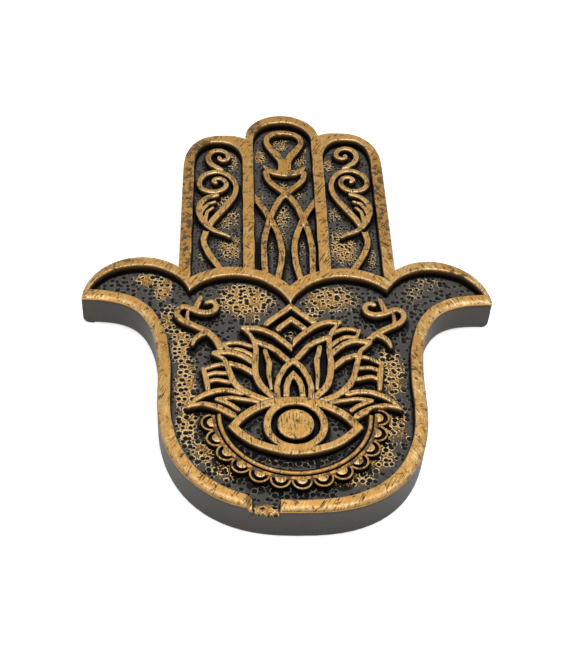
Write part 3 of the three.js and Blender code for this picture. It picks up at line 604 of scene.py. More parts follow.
class Grid:
    """A square grid over the hand as it is seen from above."""

    def __init__(self, step):
        low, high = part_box("tray_body")
        margin = 3 * step
        self.step = step
        self.xs = np.arange(low.x - margin, high.x + margin, step)
        self.ys = np.arange(low.y - margin, high.y + margin, step)
        self.shape = (len(self.ys), len(self.xs))

    def places(self):
        """The x and the y of each grid point."""
        return np.meshgrid(self.xs, self.ys)

    def window(self, low, high):
        """Rows and columns that lie in a box."""
        rows = slice(*np.searchsorted(self.ys, (low[1], high[1])))
        columns = slice(*np.searchsorted(self.xs, (low[0], high[0])))
        return rows, columns

    def distance(self, outline):
        """Distance of each grid point to an outline, up to the reach of the fields."""
        field = np.full(self.shape, FIELD_REACH)
        for start, end in outline:
            low = np.minimum(start, end) - FIELD_REACH
            high = np.maximum(start, end) + FIELD_REACH
            rows, columns = self.window(low, high)
            along = end - start
            across = self.xs[columns] - start[0]
            up = self.ys[rows, None] - start[1]
            share = np.clip((across * along[0] + up * along[1]) / (along @ along), 0, 1)
            gap = np.hypot(across - share * along[0], up - share * along[1])
            field[rows, columns] = np.minimum(field[rows, columns], gap)
        return field

    def inside(self, outline):
        """True at the grid points that an outline encloses."""
        mask = np.zeros(self.shape, bool)
        start, end = outline[:, 0], outline[:, 1]
        for row, y in enumerate(self.ys):
            hit = (start[:, 1] > y) != (end[:, 1] > y)
            first, last = start[hit], end[hit]
            share = (y - first[:, 1]) / (last[:, 1] - first[:, 1])
            crossings = np.sort(first[:, 0] + share * (last[:, 0] - first[:, 0]))
            mask[row] = np.searchsorted(crossings, self.xs) % 2 == 1
        return mask

    def signed(self, outline):
        """Distance to an outline, negative inside it."""
        return np.where(self.inside(outline), -1, 1) * self.distance(outline)

    def triangles(self, cells, heights):
        """Two triangles for each chosen cell, parted along the diagonal that follows the relief."""
        rows, columns = np.nonzero(cells)
        width = self.shape[1]
        near_left = rows * width + columns
        near_right, far_left, far_right = near_left + 1, near_left + width, near_left + width + 1
        flat = heights.ravel()
        rising = np.abs(flat[near_left] - flat[far_right]) <= np.abs(flat[near_right] - flat[far_left])
        first = np.where(rising, far_right, far_left)
        second = np.where(rising, near_left, near_right)
        return np.concatenate([
            np.stack([near_left, near_right, first], axis=1),
            np.stack([second, far_right, far_left], axis=1)])


def corners_of(field):
    """The four corner values of every cell of a grid field."""
    return np.stack([field[:-1, :-1], field[:-1, 1:], field[1:, :-1], field[1:, 1:]])


def widest(field, cells):
    """Largest value of a field within some cells of each point."""
    for axis in (0, 1):
        shifted = [np.roll(field, cell, axis) for cell in range(-cells, cells + 1)]
        field = functools.reduce(np.maximum, shifted)
    return field


def narrowness(grid, raised):
    """1 in narrow gaps between raised forms, 0 where the floor beside them is wide."""
    room = widest(raised, round(ROOM_REACH / grid.step))
    return np.clip((WIDE - room) / (WIDE - NARROW), 0, 1)


def settled(field, step):
    """Distances to an outline, with points less than half a step off it taken as on it."""
    return np.where(np.abs(field) < step / 2, 0, field)


def pull_to_edge(field, step):
    """Moves along x and y that bring points less than half a step off an outline onto it."""
    slope_y, slope_x = np.gradient(field, step)
    offset = settled(field, step) - field
    return np.stack([offset * slope_x, offset * slope_y], axis=2)


def at_outline(outer, step):
    """True at the points that count as on the hand's outline or outside it."""
    return outer > -EDGE_SHARE * step


# Shape of the casting

def share_between(value, start, end):
    """Runs evenly from 0 at a start to 1 at an end."""
    return np.clip((value - start) / (end - start), 0, 1)


def wall(distance, shoulder, foot):
    """Share of a raised form's height at a distance from its edge: round shoulder, steep foot."""
    lean = np.clip(1 + distance / shoulder, 0, 1)
    top = 1 - SHOULDER_DROP * (1 - np.sqrt(1 - lean ** 2))
    return top * np.clip(1 - distance / foot, 0, 1)


def waver(x, y, length, phase):
    """Slow unevenness between -1 and 1, as hand-cut work has."""
    x, y = x * math.tau / length, y * math.tau / length
    first = np.sin(x + 1.7 * np.sin(0.7 * y + phase))
    second = np.sin(0.9 * y + 1.3 * np.sin(0.6 * x + 2 * phase))
    return (first + second) / 2


def patches(x, y, places):
    """Strength of rubbed or worn patches at some points, fading from the middle of each patch."""
    strength = np.zeros_like(x)
    for (middle_x, middle_y), (half_x, half_y), peak in places:
        far = np.hypot((x / MM - middle_x) / half_x, (y / MM - middle_y) / half_y)
        near = np.clip(1.5 - far, 0, 1)
        strength = np.maximum(strength, peak * near ** 2 * (3 - 2 * near))
    return strength


def window_edges():
    """Edges of the rim that face a sunk window, without the cuts between the rim's own pieces."""
    outlines = {name: top_outline(name) for name in RIM_NODES}
    hand = top_outline("tray_body")
    kept = []
    for name, outline in outlines.items():
        along = outline[:, 1] - outline[:, 0]
        outward = np.stack([along[:, 1], -along[:, 0]], axis=1)
        outward *= PROBE / np.linalg.norm(along, axis=1)[:, None]
        probe = outline.mean(axis=1) + outward
        faces_window = encloses(hand, probe)
        for other, other_outline in outlines.items():
            if other != name:
                faces_window &= ~encloses(other_outline, probe)
        kept.append(outline[faces_window])
    return np.concatenate(kept)


@dataclass
class Casting:
    """The raised work as heights on a grid, and the solid that each grid cell belongs to."""

    grid: Grid
    names: tuple
    heights: np.ndarray
    rise: np.ndarray
    narrow: np.ndarray
    on_rim: np.ndarray
    pull: np.ndarray
    owner: np.ndarray
    outer: np.ndarray
    on_outline: np.ndarray


def rim_fields(grid, outer):
    """Distance to the rim's window edges, negative on the rim, and the rim piece at each point."""
    pieces = np.stack([grid.signed(top_outline(name)) for name in RIM_NODES])
    on_rim = (pieces < 0).any(axis=0)
    just_outside = widest(on_rim, 2) & (outer >= 0)
    on_rim |= just_outside
    edges = grid.distance(window_edges())
    return np.where(on_rim, -edges, edges), pieces.argmin(axis=0)


def relief_fields(grid, rim, reach):
    """Distance to the relief with near strokes run together, and the stroke at each point."""
    nearest = np.full(grid.shape, FIELD_REACH)
    second = rim.copy()
    label = np.zeros(grid.shape, int)
    for index, name in enumerate(RELIEF_NODES):
        field = grid.signed(top_outline(name))
        closer = field < nearest
        second = np.where(closer, np.minimum(second, nearest), np.minimum(second, field))
        nearest = np.where(closer, field, nearest)
        label[closer] = index
    bridge = np.maximum(0, reach - np.abs(nearest) - np.abs(second))
    return nearest - bridge / 2 - STROKE_SWELL, label


def part_touching(owner, rounds=20):
    """Hands a cell over to its neighbour where a piece would touch itself only at a corner."""
    for _ in range(rounds):
        near_left, near_right, far_left, far_right = corners_of(owner)
        rising = (near_left == far_right) & (near_left != near_right) & (near_left != far_left)
        falling = (near_right == far_left) & (near_right != near_left) & (near_right != far_right)
        if not (rising | falling).any():
            return owner
        owner[:-1, :-1][rising] = near_right[rising]
        owner[:-1, 1:][falling] = near_left[falling]
    return owner


def edge_turn(outer, y):
    """How far the rim's outer edge has turned over, from 0 to 1: it is rounder at the wrist."""
    turn = np.clip(1 + outer / settings().casting.outer_round, 0, 1)
    return turn * (LEAST_TURN + (1 - LEAST_TURN) * share_between(y, *TURN_Y))


def outer_drop(outer, y):
    """How far the rim's top sinks towards the hand's outline."""
    radius = settings().casting.outer_round
    lean = math.sin(EDGE_LEAN) * edge_turn(outer, y)
    return radius / math.sin(EDGE_LEAN) * (1 - np.sqrt(1 - lean ** 2))


@functools.cache
def casting():
    """Works the raised parts out from the outlines of the solids."""
    sizes = settings().casting
    grid = Grid(sizes.grid_step)
    outer = grid.signed(top_outline("tray_body"))
    rim, rim_label = rim_fields(grid, outer)
    relief, relief_label = relief_fields(grid, rim, sizes.join_reach)
    tops = np.array([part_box(name)[1].z for name in RELIEF_NODES])
    x, y = grid.places()
    uneven = HEIGHT_SHARE * sizes.waver * waver(x, y, 8 * MM, 0.4)
    rim_wall = wall(settled(rim, grid.step), sizes.shoulder, sizes.foot)
    relief_wall = wall(settled(relief, grid.step), sizes.shoulder, sizes.foot)
    on_outline = at_outline(outer, grid.step)
    sunk = outer_drop(np.where(on_outline, 0, outer), y) + NOTCH_SAG * patches(x, y, SAGGED_PATCH)
    rim_height = ROOT_Z + rim_wall * (RIM_Z + uneven - sunk - ROOT_Z)
    relief_height = ROOT_Z + relief_wall * (tops[relief_label] + uneven - ROOT_Z)
    in_hand = ~corners_of(on_outline).all(axis=0)
    higher = corners_of(rim_height).mean(axis=0) >= corners_of(relief_height).mean(axis=0)
    rim_cell = in_hand & higher & (corners_of(rim).min(axis=0) < sizes.foot)
    relief_cell = in_hand & ~rim_cell & (corners_of(relief).min(axis=0) < sizes.foot)
    owner = np.full(rim_cell.shape, -1)
    owner[rim_cell] = rim_label[:-1, :-1][rim_cell]
    owner[relief_cell] = len(RIM_NODES) + relief_label[:-1, :-1][relief_cell]
    raised = np.minimum(rim, relief)
    return Casting(
        grid=grid, names=RIM_NODES + RELIEF_NODES, heights=np.maximum(rim_height, relief_height),
        rise=np.where(rim_height >= relief_height, rim_wall, relief_wall),
        on_rim=rim_height >= relief_height,
        narrow=narrowness(grid, raised), pull=pull_to_edge(raised, grid.step),
        owner=part_touching(owner), outer=outer, on_outline=on_outline)


# Meshes and pieces

def wavered(points):
    """Points moved sideways by the wander of hand-cut work."""
    amount = settings().casting.waver
    x, y = points[:, 0].copy(), points[:, 1].copy()
    points[:, 0] += amount * waver(x, y, 11 * MM, 1.1)
    points[:, 1] += amount * waver(x, y, 13 * MM, 2.3)
    return points


def closed_shell(name, points, triangles, base_z, values):
    """A closed mesh: a surface, a skirt from its edge down to a base height, and a flat underside."""
    used, triangles = np.unique(triangles, return_inverse=True)
    triangles = triangles.reshape(-1, 3)
    points = points[used]
    edges = open_edges(triangles)
    edge_points, low = np.unique(edges, return_inverse=True)
    low = low.reshape(-1, 2) + len(points)
    skirt = np.concatenate([
        np.stack([edges[:, 0], low[:, 0], low[:, 1]], axis=1),
        np.stack([edges[:, 0], low[:, 1], edges[:, 1]], axis=1)])
    base = points[edge_points]
    base[:, 2] = base_z
    mesh = bpy.data.meshes.new(name)
    faces = np.concatenate([triangles, skirt])
    mesh.from_pydata(np.concatenate([points, base]).tolist(), [], faces.tolist())
    for label, value in values.items():
        attribute = mesh.attributes.new(label, "FLOAT", "POINT")
        filled = np.concatenate([value[used], np.zeros(len(base))])
        attribute.data.foreach_set("value", filled.astype(np.float32))
    close_underside(mesh)
    mesh.shade_smooth()
    mesh.set_sharp_from_angle(angle=SHELL_SHARP)
    return mesh


def close_underside(mesh):
    """Fills the open lower edge of a shell with a flat face."""
    shell = bmesh.new()
    shell.from_mesh(mesh)
    lower_edge = [edge for edge in shell.edges if edge.is_boundary]
    bmesh.ops.triangle_fill(shell, edges=lower_edge, use_beauty=False, normal=(0, 0, -1))
    if any(edge.is_boundary for edge in shell.edges):
        raise RuntimeError(f"the underside of {mesh.name} stayed open")
    shell.to_mesh(mesh)
    shell.free()


def new_object(name, mesh):
    """An object at the origin that shows a mesh."""
    made = bpy.data.objects.new(name, mesh)
    bpy.context.scene.collection.objects.link(made)
    return made


def add_piece(piece, nodes):
    """Fixes a finished piece to the holder in place of its solids."""
    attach(piece, BODY)
    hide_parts(*nodes)


def run_tree(name, mesh, tree, inputs):
    """Runs a geometry tree on a mesh and gives an object with the result as its plain mesh."""
    made = new_object(name, mesh)
    modifier = made.modifiers.new(tree.name, "NODES")
    modifier.node_group = tree
    for item in tree.interface.items_tree:
        if item.in_out == "INPUT" and item.name in inputs:
            modifier[item.identifier] = inputs[item.name]
    evaluated = made.evaluated_get(bpy.context.evaluated_depsgraph_get())
    result = bpy.data.meshes.new_from_object(evaluated)
    made.modifiers.remove(modifier)
    made.data = result
    return made


def geometry_tree(name, inputs):
    """A geometry tree with named inputs; gives the tree, its nodes and its inputs as values."""
    tree = bpy.data.node_groups.new(name, "GeometryNodeTree")
    tree.interface.new_socket("Geometry", in_out="INPUT", socket_type="NodeSocketGeometry")
    for label, kind in inputs.items():
        tree.interface.new_socket(label, in_out="INPUT", socket_type="NodeSocket" + kind)
    tree.interface.new_socket("Geometry", in_out="OUTPUT", socket_type="NodeSocketGeometry")
    nodes = NodeTree(tree)
    source = tree.nodes.new("NodeGroupInput")
    given = {socket.name: Value(nodes, socket) for socket in source.outputs if socket.name}
    return tree, nodes, given


def end_tree(nodes, geometry, material):
    """Ends a geometry tree: instances become real and take their material."""
    real = nodes.add("GeometryNodeRealizeInstances", None, {"Geometry": geometry})
    dressed = nodes.add("GeometryNodeSetMaterial", None, {"Geometry": real, "Material": material})
    nodes.add("NodeGroupOutput", None, {"Geometry": dressed})


def keep_value(nodes, geometry, name, value):
    """Stores a value on the points under a name that the finish reads."""
    sockets = {"Geometry": geometry, "Name": name, "Value": value}
    return nodes.add("GeometryNodeStoreNamedAttribute", {"data_type": "FLOAT"}, sockets)


# Pieces of the casting

def foot_inset(height, radius):
    """How far a rounded lower edge lies inside the upright wall at a height."""
    below = max(radius - height, 0)
    return radius - math.sqrt(radius ** 2 - below ** 2)


def foot_move(place, normal):
    """Move of a point of the slab's wall that rounds its foot, and flares it at the wrist."""
    thumb = share_between(abs(place.x), *THUMB_X)
    wrist = share_between(place.y, *WRIST_Y)
    flare = WRIST_FLARE * wrist * (1 - place.z / SLAB_Z) ** 2
    inwards = -Vector((normal.x, normal.y, 0)).normalized()
    tip = math.copysign(thumb * foot_inset(place.z, THUMB_ROUND), place.x)
    return inwards * foot_inset(place.z, FOOT_ROUND) - Vector((tip, flare, 0))


def copy_slab():
    """The slab as one merged mesh with a rounded foot, its top lowered to make room for the dots."""
    slab = bmesh.new()
    slab.from_mesh(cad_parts["tray_body"].data)
    bmesh.ops.remove_doubles(slab, verts=slab.verts, dist=0.001 * MM)
    for vertex in slab.verts:
        vertex.co.z = min(vertex.co.z, SLAB_Z)
    for level in FOOT_LEVELS:
        everything = slab.verts[:] + slab.edges[:] + slab.faces[:]
        bmesh.ops.bisect_plane(slab, geom=everything, plane_co=(0, 0, level * MM), plane_no=(0, 0, 1))
    slab.normal_update()
    underside = [face for face in slab.faces if face.normal.z < UNDERSIDE]
    bmesh.ops.delete(slab, geom=underside, context="FACES_ONLY")
    slab.normal_update()
    moves = [foot_move(vertex.co, vertex.normal) for vertex in slab.verts]
    for vertex, move in zip(slab.verts, moves):
        vertex.co += move
    mesh = bpy.data.meshes.new("cast_slab")
    slab.to_mesh(mesh)
    slab.free()
    mesh.attributes.remove(mesh.attributes["custom_normal"])
    close_underside(mesh)
    mesh.shade_smooth()
    mesh.set_sharp_from_angle(angle=SLAB_SHARP)
    for face in mesh.polygons:
        face.use_smooth = face.normal.z > UNDERSIDE
    return mesh


def draw_to_outline(points, outer, step):
    """Brings the points at the hand's edge onto its outline."""
    outline = top_outline("tray_body")
    at_edge = np.nonzero(at_outline(outer, step) & (outer < 2 * step))
    for part in np.array_split(np.ravel_multi_index(at_edge, outer.shape), BATCHES):
        points[part, :2] = nearest_on(outline, points[part, :2])
    return points


def raised_points(cast):
    """Points of the raised work, with those at the hand's edge drawn onto its outline."""
    x, y = cast.grid.places()
    points = np.stack([x, y, cast.heights], axis=2).reshape(-1, 3)
    points[:, :2] += cast.pull.reshape(-1, 2)
    return draw_to_outline(wavered(points), cast.outer, cast.grid.step)


@functools.cache
def raised_surface():
    """The points of the raised work and the values that its finish reads."""
    cast = casting()
    points = raised_points(cast)
    x, y = points[:, 0], points[:, 1]
    values = {
        "rise": np.maximum(cast.rise.ravel(), NOTCH_PAINT * patches(x, y, NOTCH_PATCH)),
        "narrow": cast.narrow.ravel(),
        "wear": patches(x, y, WORN_PATCHES),
        "rim": cast.on_rim.ravel(),
        "turned": edge_turn(cast.outer, cast.grid.ys[:, None]).ravel(),
    }
    return points, values


def raise_piece(name, base_z):
    """Makes the dressed piece that stands for one solid of the rim or the relief."""
    cast = casting()
    points, values = raised_surface()
    triangles = cast.grid.triangles(cast.owner == cast.names.index(name), cast.heights)
    triangles = triangles[~cast.on_outline.ravel()[triangles].all(axis=1)]
    mesh = closed_shell("cast_" + name, points, triangles, base_z, values)
    mesh.materials.append(rubbed_gold())
    return new_object(mesh.name, mesh)


def paint_outer_wall(mesh):
    """Gives the upright faces along the hand's outline the paint of the side wall."""
    mesh.materials.append(side_paint())
    outline = top_outline("tray_body")
    upright = [face for face in mesh.polygons if abs(face.normal.z) < UPRIGHT]
    middles = np.array([face.center[:2] for face in upright])
    for part in np.array_split(np.arange(len(upright)), BATCHES):
        gap = np.linalg.norm(middles[part] - nearest_on(outline, middles[part]), axis=1)
        for index in part[gap < PROBE]:
            upright[index].material_index = 1
    sides = Counter(key for face in upright if face.material_index == 1 for key in face.edge_keys)
    for edge in mesh.edges:
        edge.use_edge_sharp |= sides[edge.key] == 1


# Stippled floors

def floor_regions(x, y):
    """Name of the floor at each cell: the palm, a thumb or a finger."""
    x, y = x / MM, y / MM
    palm = (y < ARCH_CENTRES[0][1]) | (np.abs(x) > FINGERS_HALF)
    for arch_x, arch_y in ARCH_CENTRES:
        palm |= np.hypot(x - arch_x, y - arch_y) < ARCH_RADIUS
    names = np.where(x < 0, "left_finger_floor", "right_finger_floor")
    names = np.where(np.abs(x) < DIVIDER_X, "middle_finger_floor", names)
    names = np.where(palm, "palm_floor", names)
    names = np.where(palm & (x < -THUMB_FLOOR_X), "left_thumb_floor", names)
    return np.where(palm & (x > THUMB_FLOOR_X), "right_thumb_floor", names)


def punched(nodes, place, spacing, share):
    """Depth of round dots about a spacing apart, and the lip round each of them, from 0 to 1."""
    sockets = {"Vector": place, "Scale": 1 / spacing, "Randomness": 0.85}
    dots = nodes.add("ShaderNodeTexVoronoi", {"voronoi_dimensions": "2D"}, sockets)
    colour = Value(nodes, dots.socket.node.outputs["Color"])
    size = nodes.add("ShaderNodeSeparateXYZ", None, {0: colour}, "X")
    chance = nodes.add("ShaderNodeSeparateXYZ", None, {0: colour}, "Y")
    present = nodes.span(chance, 0.12, 0.22)
    reach = dots / (share * (0.7 + size * 0.55))
    pit = nodes.span(reach, 0.5, 1.0, 1, 0) * present
    lip = nodes.span(reach, 0.85, 1.05) * nodes.span(reach, 1.1, 1.45, 1, 0) * present
    return pit, lip


@functools.cache
def stipple_tree():
    """Geometry tree that punches round dots with a small lip into a floor."""
    tree, nodes, given = geometry_tree("stipple", {
        "Spacing": "Float", "Dot Share": "Float", "Depth": "Float", "Unevenness": "Float",
        "Material": "Material"})
    place = nodes.add("GeometryNodeInputPosition")
    sheet = nodes.add("GeometryNodeInputNamedAttribute", {"data_type": "FLOAT"}, {"Name": "sheet"})
    clear = nodes.add("GeometryNodeInputNamedAttribute", {"data_type": "FLOAT"}, {"Name": "open"})
    pit, lip = punched(nodes, place, given["Spacing"], given["Dot Share"])
    wave = nodes.noise(place, 2 * MM, 4, 0.6) - 0.5
    lift = sheet * (given["Unevenness"] * wave + given["Depth"] * clear * (0.25 * lip - pit))
    offset = nodes.add("ShaderNodeCombineXYZ", None, {"Z": lift})
    kept = nodes.add("GeometryNodeSetPosition", None, {"Geometry": given["Geometry"], "Offset": offset})
    end_tree(nodes, kept, given["Material"])
    return tree


def scallop_field(x, y, sizes):
    """Distance to the row of scallops, negative inside it."""
    nearest = np.full_like(x, FIELD_REACH)
    for index in range(sizes.scallop_count):
        turn = (index - (sizes.scallop_count - 1) / 2) * sizes.scallop_pitch + sizes.scallop_turn
        middle_x = sizes.centre[0] + sizes.scallop_ring * math.sin(turn)
        middle_y = sizes.centre[1] - sizes.scallop_ring * math.cos(turn) * sizes.squash
        nearest = np.minimum(nearest, np.hypot(x - middle_x, y - middle_y) - sizes.scallop_radius)
    return nearest


def floor_values(grid, rim, relief, notch):
    """Values on the floors that the stipple and the finish read."""
    x, y = grid.places()
    raised = np.minimum(rim, relief)
    narrow = narrowness(grid, raised)
    clear = (1 - narrow) * np.clip(raised / CLEAR_REACH, 0, 1)
    worked = np.minimum(relief, scallop_field(x, y, settings().border))
    # Painted shade beside the relief, reaching twice as far on the wrist's side as a painted shadow
    towards_wrist = np.roll(worked, -round(SHADE_REACH / grid.step), axis=0)
    beside = np.minimum(np.minimum(worked, towards_wrist) / SHADE_REACH, rim / RIM_SHADE_REACH)
    wash_and_shade = 1 - np.clip(beside, 0, 1)
    fields = {
        "sheet": 1 + notch,
        "rub": patches(x, y, RUBBED_PATCHES),
        "open": np.maximum(clear, NOTCH_DOTS * notch),
        "wash_and_shade": np.maximum(wash_and_shade, narrow) * (1 - notch),
    }
    return {name: field.ravel() for name, field in fields.items()}


def floor_surface(grid):
    """Points of the sunk floors, their values, and the triangles of each floor by its name."""
    outer = grid.signed(top_outline("tray_body"))
    rim, _ = rim_fields(grid, outer)
    relief, _ = relief_fields(grid, rim, settings().casting.join_reach)
    on_outline = at_outline(outer, grid.step)
    x, y = grid.places()
    notch = patches(x, y, NOTCH_PATCH)
    heights = FLOOR_Z + NOTCH_RISE * notch - outer_drop(np.where(on_outline, 0, outer), y)
    points = wavered(np.stack([x, y, heights], axis=2).reshape(-1, 3))
    points = draw_to_outline(points, outer, grid.step)
    sunk = (corners_of(rim).min(axis=0) > -FLOOR_LAP) & ~corners_of(on_outline).all(axis=0)
    middle_x, middle_y = x[:-1, :-1] + grid.step / 2, y[:-1, :-1] + grid.step / 2
    region = part_touching(np.where(sunk, floor_regions(middle_x, middle_y), ""))
    mixed = waver(x, y, grid.step, 0.5)    # turns the cells' diagonals both ways, in no clear order
    floors = {}
    for name in sorted(set(region[sunk])):
        triangles = grid.triangles(region == name, mixed)
        floors[name] = triangles[~on_outline.ravel()[triangles].all(axis=1)]
    return points, floor_values(grid, rim, relief, notch), floors


# Border below the eye

def lathe(profile, segments, centre=(0, 0)):
    """Points and faces of a profile of radius and height turned about an upright axis."""
    rings = []
    points = []
    for radius, height in profile:
        turns = 1 if radius == 0 else segments
        ring = []
        for step in range(turns):
            angle = math.tau * step / segments
            ring.append(len(points))
            spot = (centre[0] + radius * math.cos(angle), centre[1] + radius * math.sin(angle), height)
            points.append(spot)
        rings.append(ring)
    faces = []
    for lower, upper in zip(rings, rings[1:]):
        for step in range(segments):
            after = (step + 1) % segments
            corners = [lower[step % len(lower)], lower[after % len(lower)],
                       upper[after % len(upper)], upper[step % len(upper)]]
            faces.append(tuple(dict.fromkeys(corners)))
    return points, faces


def tucked(points, line, height, limit):
    """Points with those past a line kept below a height and short of a limit, inside the collar."""
    return [(x, min(y, limit), min(z, height) if y > line else z) for x, y, z in points]


def scallop_mesh(sizes):
    """One scallop at the origin: a cup with a raised outer edge, and a bead that runs into the collar."""
    radius = sizes.scallop_radius
    edge = [(-0.8, 0.7), (-0.65, 0.12), (-0.35, 0), (-0.12, 0.12), (0, 0.6)]    # out and down, in mm
    cup = [(0, SCALLOP_Z - CUP_DEPTH), (radius - 0.9 * MM, SCALLOP_Z - CUP_DEPTH)]
    cup += [(radius + out * MM, SCALLOP_Z - drop * MM) for out, drop in edge]
    cup += [(radius + 0.2 * MM, ROOT_Z), (0, ROOT_Z)]
    dome = [(0, 0), (0.75, 0), (0.92, 0.1), (1, 0.4)]    # share of the radius, and down in mm
    bead = [(share * sizes.bead_radius, COLLAR_Z - drop * MM) for share, drop in dome]
    bead += [(sizes.bead_radius, COLLAR_Z - BEAD_HEIGHT), (0, COLLAR_Z - BEAD_HEIGHT)]
    points, faces = lathe(cup, segments=36)
    bead_points, bead_faces = lathe(bead, segments=28, centre=(0, sizes.bead_setback))
    faces += [tuple(index + len(points) for index in face) for face in bead_faces]
    limit = sizes.scallop_ring - sizes.ridge_outer - sizes.groove - 0.2 * MM
    points = tucked(points, sizes.bead_setback, COLLAR_Z - 0.3 * MM, limit)
    points += tucked(bead_points, sizes.bead_setback + 0.25 * MM, COLLAR_Z - 0.15 * MM, limit)
    mesh = bpy.data.meshes.new("scallop")
    mesh.from_pydata(points, [], faces)
    face_outwards(mesh)
    return mesh


def face_outwards(mesh):
    """Turns all faces of a closed mesh outwards and shades it smooth between its edges."""
    shape = bmesh.new()
    shape.from_mesh(mesh)
    bmesh.ops.recalc_face_normals(shape, faces=shape.faces)
    shape.to_mesh(mesh)
    shape.free()
    mesh.shade_smooth()
    mesh.set_sharp_from_angle(angle=BORDER_SHARP)


def rise_of(nodes, paint):
    """How far a point lies up the heights where paint starts and is full, from 0 to 1."""
    place = nodes.add("GeometryNodeInputPosition")
    height = nodes.add("ShaderNodeSeparateXYZ", None, {0: place}, "Z")
    return nodes.span(height, FLOOR_Z + paint[0], FLOOR_Z + paint[1])


@functools.cache
def scallop_tree():
    """Geometry tree that sets copies of a scallop along an arc below the eye."""
    tree, nodes, given = geometry_tree("scallop_row", {
        "Count": "Int", "Ring Radius": "Float", "Pitch": "Float", "Turn": "Float", "Squash": "Float",
        "Centre": "Vector", "Seed": "Int", "Material": "Material"})
    index = nodes.add("GeometryNodeInputIndex")
    turn = (index - (given["Count"] - 1) * 0.5) * given["Pitch"] + given["Turn"]
    along = nodes.maths("SINE", turn, 0)
    down = nodes.maths("COSINE", turn, 0)
    spot = nodes.add("ShaderNodeCombineXYZ", None, {
        "X": along * given["Ring Radius"], "Y": 0 - down * given["Ring Radius"] * given["Squash"]})
    place = nodes.add("ShaderNodeVectorMath", {"operation": "ADD"}, {0: spot, 1: given["Centre"]})
    points = nodes.add("GeometryNodePoints", None, {"Count": given["Count"], "Position": place})
    facing = nodes.add("ShaderNodeCombineXYZ", None, {"Z": turn})
    width = nodes.add("FunctionNodeRandomValue", {"data_type": "FLOAT"}, {
        2: SCALLOP_WIDTHS[0], 3: SCALLOP_WIDTHS[1], "Seed": given["Seed"]}, 1)
    row = nodes.add("GeometryNodeInstanceOnPoints", None, {
        "Points": points, "Instance": given["Geometry"], "Rotation": facing})
    across = nodes.add("ShaderNodeCombineXYZ", None, {"X": width, "Y": 1.0, "Z": 1.0})
    row = nodes.add("GeometryNodeScaleInstances", None, {"Instances": row, "Scale": across})
    real = nodes.add("GeometryNodeRealizeInstances", None, {"Geometry": row})
    kept = keep_value(nodes, real, "rise", rise_of(nodes, SCALLOP_PAINT))
    end_tree(nodes, kept, given["Material"])
    return tree


@functools.cache
def band_tree():
    """Geometry tree that draws a profile along the arc below the eye."""
    tree, nodes, given = geometry_tree("border_band", {
        "Radius": "Float", "Start": "Float", "Sweep": "Float", "Squash": "Float", "Centre": "Vector",
        "Collar Start": "Float", "Material": "Material"})
    arc = nodes.add("GeometryNodeCurveArc", None, {
        "Resolution": BAND_POINTS, "Radius": given["Radius"], "Start Angle": given["Start"],
        "Sweep Angle": given["Sweep"]})
    upright = nodes.add("GeometryNodeSetCurveNormal", {"mode": "Z_UP"}, {"Curve": arc})
    profile = nodes.add("GeometryNodeMeshToCurve", None, {"Mesh": given["Geometry"]})
    swept = nodes.add("GeometryNodeCurveToMesh", None, {
        "Curve": upright, "Profile Curve": profile, "Fill Caps": True})
    ridge = rise_of(nodes, RIDGE_PAINT)
    collar = rise_of(nodes, COLLAR_PAINT)
    place = nodes.add("GeometryNodeInputPosition")
    flat = nodes.add("ShaderNodeVectorMath", {"operation": "MULTIPLY"}, {0: place, 1: (1, 1, 0)})
    radius = nodes.add("ShaderNodeVectorMath", {"operation": "LENGTH"}, {0: flat}, "Value")
    outside = nodes.span(radius, given["Collar Start"], given["Collar Start"] + 0.1 * MM)
    risen = keep_value(nodes, swept, "rise", nodes.maths("MAXIMUM", ridge, collar * outside))
    dressed = keep_value(nodes, risen, "wear", outside * COLLAR_WEAR)
    squash = nodes.add("ShaderNodeCombineXYZ", None, {"X": 1.0, "Y": given["Squash"], "Z": 1.0})
    kept = nodes.add("GeometryNodeTransform", None, {
        "Geometry": dressed, "Translation": given["Centre"], "Scale": squash})
    end_tree(nodes, kept, given["Material"])
    return tree


def band_profile(sizes):
    """Section of the band, a low step, a ridge and a collar, as a closed line with its height downwards."""
    step_z = FLOOR_Z + STEP_HEIGHT
    ridge_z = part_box("border_band")[1].z
    groove_z = COLLAR_Z - GROOVE_DEPTH
    inner, near, far = sizes.inner_radius, sizes.ridge_inner, sizes.ridge_outer
    edge = far + sizes.collar
    section = [
        (inner, ROOT_Z), (inner, step_z - 0.3 * MM), (inner + 0.25 * MM, step_z), (near - 0.2 * MM, step_z),
        (near, step_z + 0.2 * MM), (near + 0.12 * MM, ridge_z - 0.25 * MM), (near + 0.4 * MM, ridge_z),
        (far - 0.4 * MM, ridge_z), (far - 0.1 * MM, ridge_z - 0.25 * MM), (far, groove_z),
        (far + sizes.groove, groove_z), (far + sizes.groove + 0.15 * MM, COLLAR_Z),
        (edge - 0.2 * MM, COLLAR_Z), (edge, COLLAR_Z - 0.2 * MM), (edge, ROOT_Z)]
    points = [(radius - inner, -height, 0) for radius, height in section]
    edges = [(index, (index + 1) % len(points)) for index in range(len(points))]
    mesh = bpy.data.meshes.new("band_profile")
    mesh.from_pydata(points, edges, [])
    return mesh


def arc_ends(sizes):
    """Start and sweep of the border's arc, from how high its solid reaches on the two sides."""
    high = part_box("border_band")[1].y - sizes.centre[1]
    lift = math.asin(high / sizes.ridge_outer)
    return -math.pi - lift, math.pi + 2 * lift


# Operators

class HOLDER_OT_slab(Operator):
    """Makes the slab that carries the casting, with its plain outer wall"""

    bl_idname = "holder.slab"
    bl_label = "Slab"

    def execute(self, context):
        mesh = copy_slab()
        mesh.materials.append(side_paint())
        add_piece(new_object(mesh.name, mesh), ["tray_body"])
        return {"FINISHED"}


